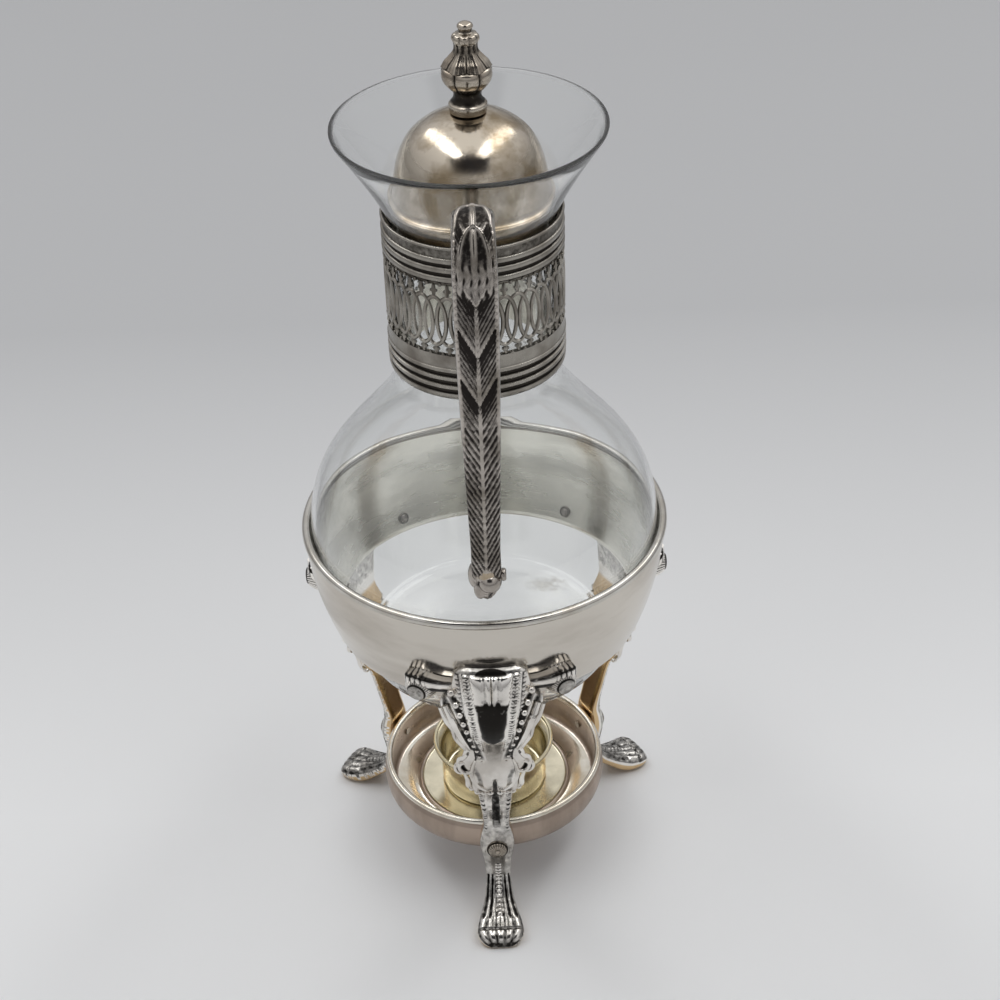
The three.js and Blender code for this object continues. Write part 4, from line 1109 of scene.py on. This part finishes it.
# Tray and candle cup
def make_tray():
    """A pan with a bulging wall, a rolled rim and a low ridge round its golden middle. Its wall and its
    underside are dark."""
    tall = tray_top - tray_bottom
    bead = 1.2
    wall = tray_radius - bead
    floor = 1.5
    ridge_inner = 28.7
    outside = flow([(wall - 2.2, 0), (wall + 0.1, 1.2), (wall + 1.4, 4), (wall + 1.9, 8),
                    (wall + 1.4, tall - 3.6)], 5)
    inside = flow([(wall - 0.8, tall - 3), (wall - 1.4, floor + 3), (wall - 2.3, floor + 0.8),
                   (wall - 4.4, floor)], 5)
    ridge = flow([(30.6, floor), (29.8, floor + 0.6), (29.2, floor + 0.9), (28.6, floor + 0.6),
                  (27.8, floor), (24, floor)], 4)
    rim = arc(wall, tall - bead, bead, -4, 13, 10)
    outline = [(0, 0.8), (30, 0.5), (wall - 4, 0), *outside, *rim, *inside, *ridge, (0, floor)]
    bm = bmesh.new()
    hollow_and_shading = bm.verts.layers.float.new("hollow_and_shading")
    lathe(bm, raised(outline, tray_bottom), 160)
    for vert in bm.verts:
        radius = math.hypot(vert.co.x, vert.co.y)
        height = vert.co.z - tray_bottom
        outer = radius > wall - 0.6 - 1.2 * (height < floor) and height < tall - 2.2
        if outer or height < 0.9:
            vert[hollow_and_shading] = 1.1
        elif radius < ridge_inner:
            vert[hollow_and_shading] = -1
        elif floor + 0.5 < height < tall - 2.2:
            vert[hollow_and_shading] = 0.9
    finish_piece(bm, "tray_pan", tray_finish, "stand", ["candle_tray"], crease=50)


def make_cup():
    tall = cup_top - cup_bottom
    lip = 0.8
    wall = cup_radius - 3.1
    outside = flow([(wall - 0.6, 0.3), (wall, 1.5), (wall, 8), (wall, tall - 6.5), (wall + 0.5, tall - 3.6),
                    (wall + 1.8, tall - 1.8)], 6)
    inside = flow([(wall + 1.1, tall - 1.9), (wall - 0.4, tall - 3.8), (wall - 1, tall - 7), (wall - 1, 3),
                   (wall - 1.8, 1.2), (wall - 4, 1)], 6)
    rim = arc(cup_radius - lip, tall - lip, lip, -4, 11, 8)
    bm = bmesh.new()
    lathe(bm, raised([(0, 0), (wall - 1.6, 0), *outside, *rim, *inside, (0, 1)], cup_bottom), 128)
    finish_piece(bm, "tealight_cup", cup_finish, "cup", ["candle_cup"], crease=50)


def dress_screws():
    for name in ("clamp_screw_upper", "clamp_screw_lower", "clamp_nut_upper", "clamp_nut_lower",
                 "finial_nut"):
        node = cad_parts[name]
        node.data.materials.clear()
        node.data.materials.append(steel_finish)


# Floor, lights and camera
def split_place(tree, kind):
    """The parts of a shading place: Object for the floor, Generated for the sky."""
    place = shader_node(tree, "TexCoord").outputs[kind]
    return shader_node(tree, "SeparateXYZ", {0: place}).outputs


def make_stage():
    bm = bmesh.new()
    bmesh.ops.create_circle(bm, cap_ends=True, segments=96, radius=6.0)
    mesh = bpy.data.meshes.new("floor")
    bm.to_mesh(mesh)
    bm.free()
    floor = bpy.data.objects.new("floor", mesh)
    bpy.context.collection.objects.link(floor)
    made, tree, shader = new_material("pale_floor")
    depth = split_place(tree, "Object")["Y"]
    # The floor is painted lighter in front and darker behind: a painted fall of light.
    painted_light_falloff = blend_colour(tree, ramp(tree, depth, 0.02, 0.42), (0.80, 0.805, 0.81), (0.48, 0.485, 0.495))
    cloudy = ramp(tree, clouds(tree, 1.5, 3), 0.3, 0.7, 0, 0.12)
    feed(tree, shader.inputs["Base Color"], blend_colour(tree, cloudy, painted_light_falloff, (0.6, 0.6, 0.6)))
    shader.inputs["Roughness"].default_value = 0.55
    mesh.materials.append(made)


def strip_light(name, side):
    """One of the two long lamps in the ceiling, which stand wider apart towards the back."""
    lamp = bpy.data.lights.new(name, "AREA")
    lamp.shape = "RECTANGLE"
    lamp.size = 0.3
    lamp.size_y = 1.95
    lamp.energy = 5
    holder = bpy.data.objects.new(name, lamp)
    holder.location = (side * 0.71, 0.42, 1.3)
    holder.rotation_euler = (0, 0, -side * math.radians(26))
    bpy.context.collection.objects.link(holder)
    holder.visible_camera = False


def make_world():
    """A pale tent round the set: brightest overhead, and dark where the camera's side is open."""
    world = bpy.data.worlds.new("studio")
    bpy.context.scene.world = world
    world.use_nodes = True
    tree = world.node_tree
    split = split_place(tree, "Generated")
    sides = blend_colour(tree, ramp(tree, split["Z"], 0, 0.25), (0.26, 0.26, 0.265), (0.5, 0.5, 0.51))
    sky = blend_colour(tree, ramp(tree, split["Z"], 0.25, 1.0), sides, (0.95, 0.95, 0.95))
    aside = sum_of(tree, split["X"], 0.0, "ABSOLUTE")
    open_share = ramp(tree, aside, 0.40, 0.52, 1.0, 0.0)
    for axis, start, end in (("Y", 0.0, -0.1), ("Z", 0.44, 0.52), ("Z", 0.97, 0.92)):
        open_share = sum_of(tree, open_share, ramp(tree, split[axis], start, end), "MULTIPLY")
    back = tree.nodes["Background"]
    feed(tree, back.inputs["Color"], blend_colour(tree, open_share, sky, (0.03, 0.03, 0.035)))
    back.inputs["Strength"].default_value = 1.0


def make_camera():
    lens_pixels = 2039
    frame_pixels = 1000
    sensor = 36
    pitch = math.radians(34.93)
    roll = math.radians(-1.96)
    yaw = math.radians(0.56)
    before_axis = 0.6073
    above_table = 0.5818
    camera = bpy.data.cameras.new("camera")
    camera.sensor_width = sensor
    camera.sensor_fit = "HORIZONTAL"
    camera.lens = lens_pixels * sensor / frame_pixels
    camera.clip_end = 50
    forward = Vector((math.sin(yaw) * math.cos(pitch), math.cos(yaw) * math.cos(pitch), -math.sin(pitch)))
    right_level = Vector((math.cos(yaw), -math.sin(yaw), 0))
    up_level = right_level.cross(forward)
    right = math.cos(roll) * right_level + math.sin(roll) * up_level
    up = -math.sin(roll) * right_level + math.cos(roll) * up_level
    turn = Matrix((right, up, -forward)).transposed()
    holder = bpy.data.objects.new("camera", camera)
    holder.matrix_world = Matrix.Translation((0, axis_y * MM - before_axis, above_table)) @ turn.to_4x4()
    bpy.context.collection.objects.link(holder)
    bpy.context.scene.camera = holder


make_camera()
make_world()
make_stage()
strip_light("left_strip", -1)
strip_light("right_strip", 1)
bpy.context.scene.view_settings.view_transform = "Standard"

make_glass()
make_lid()
make_finial()
make_collar()
make_handle()
make_bowl()
make_rivets()
make_legs()
make_tray()
make_cup()
dress_screws()
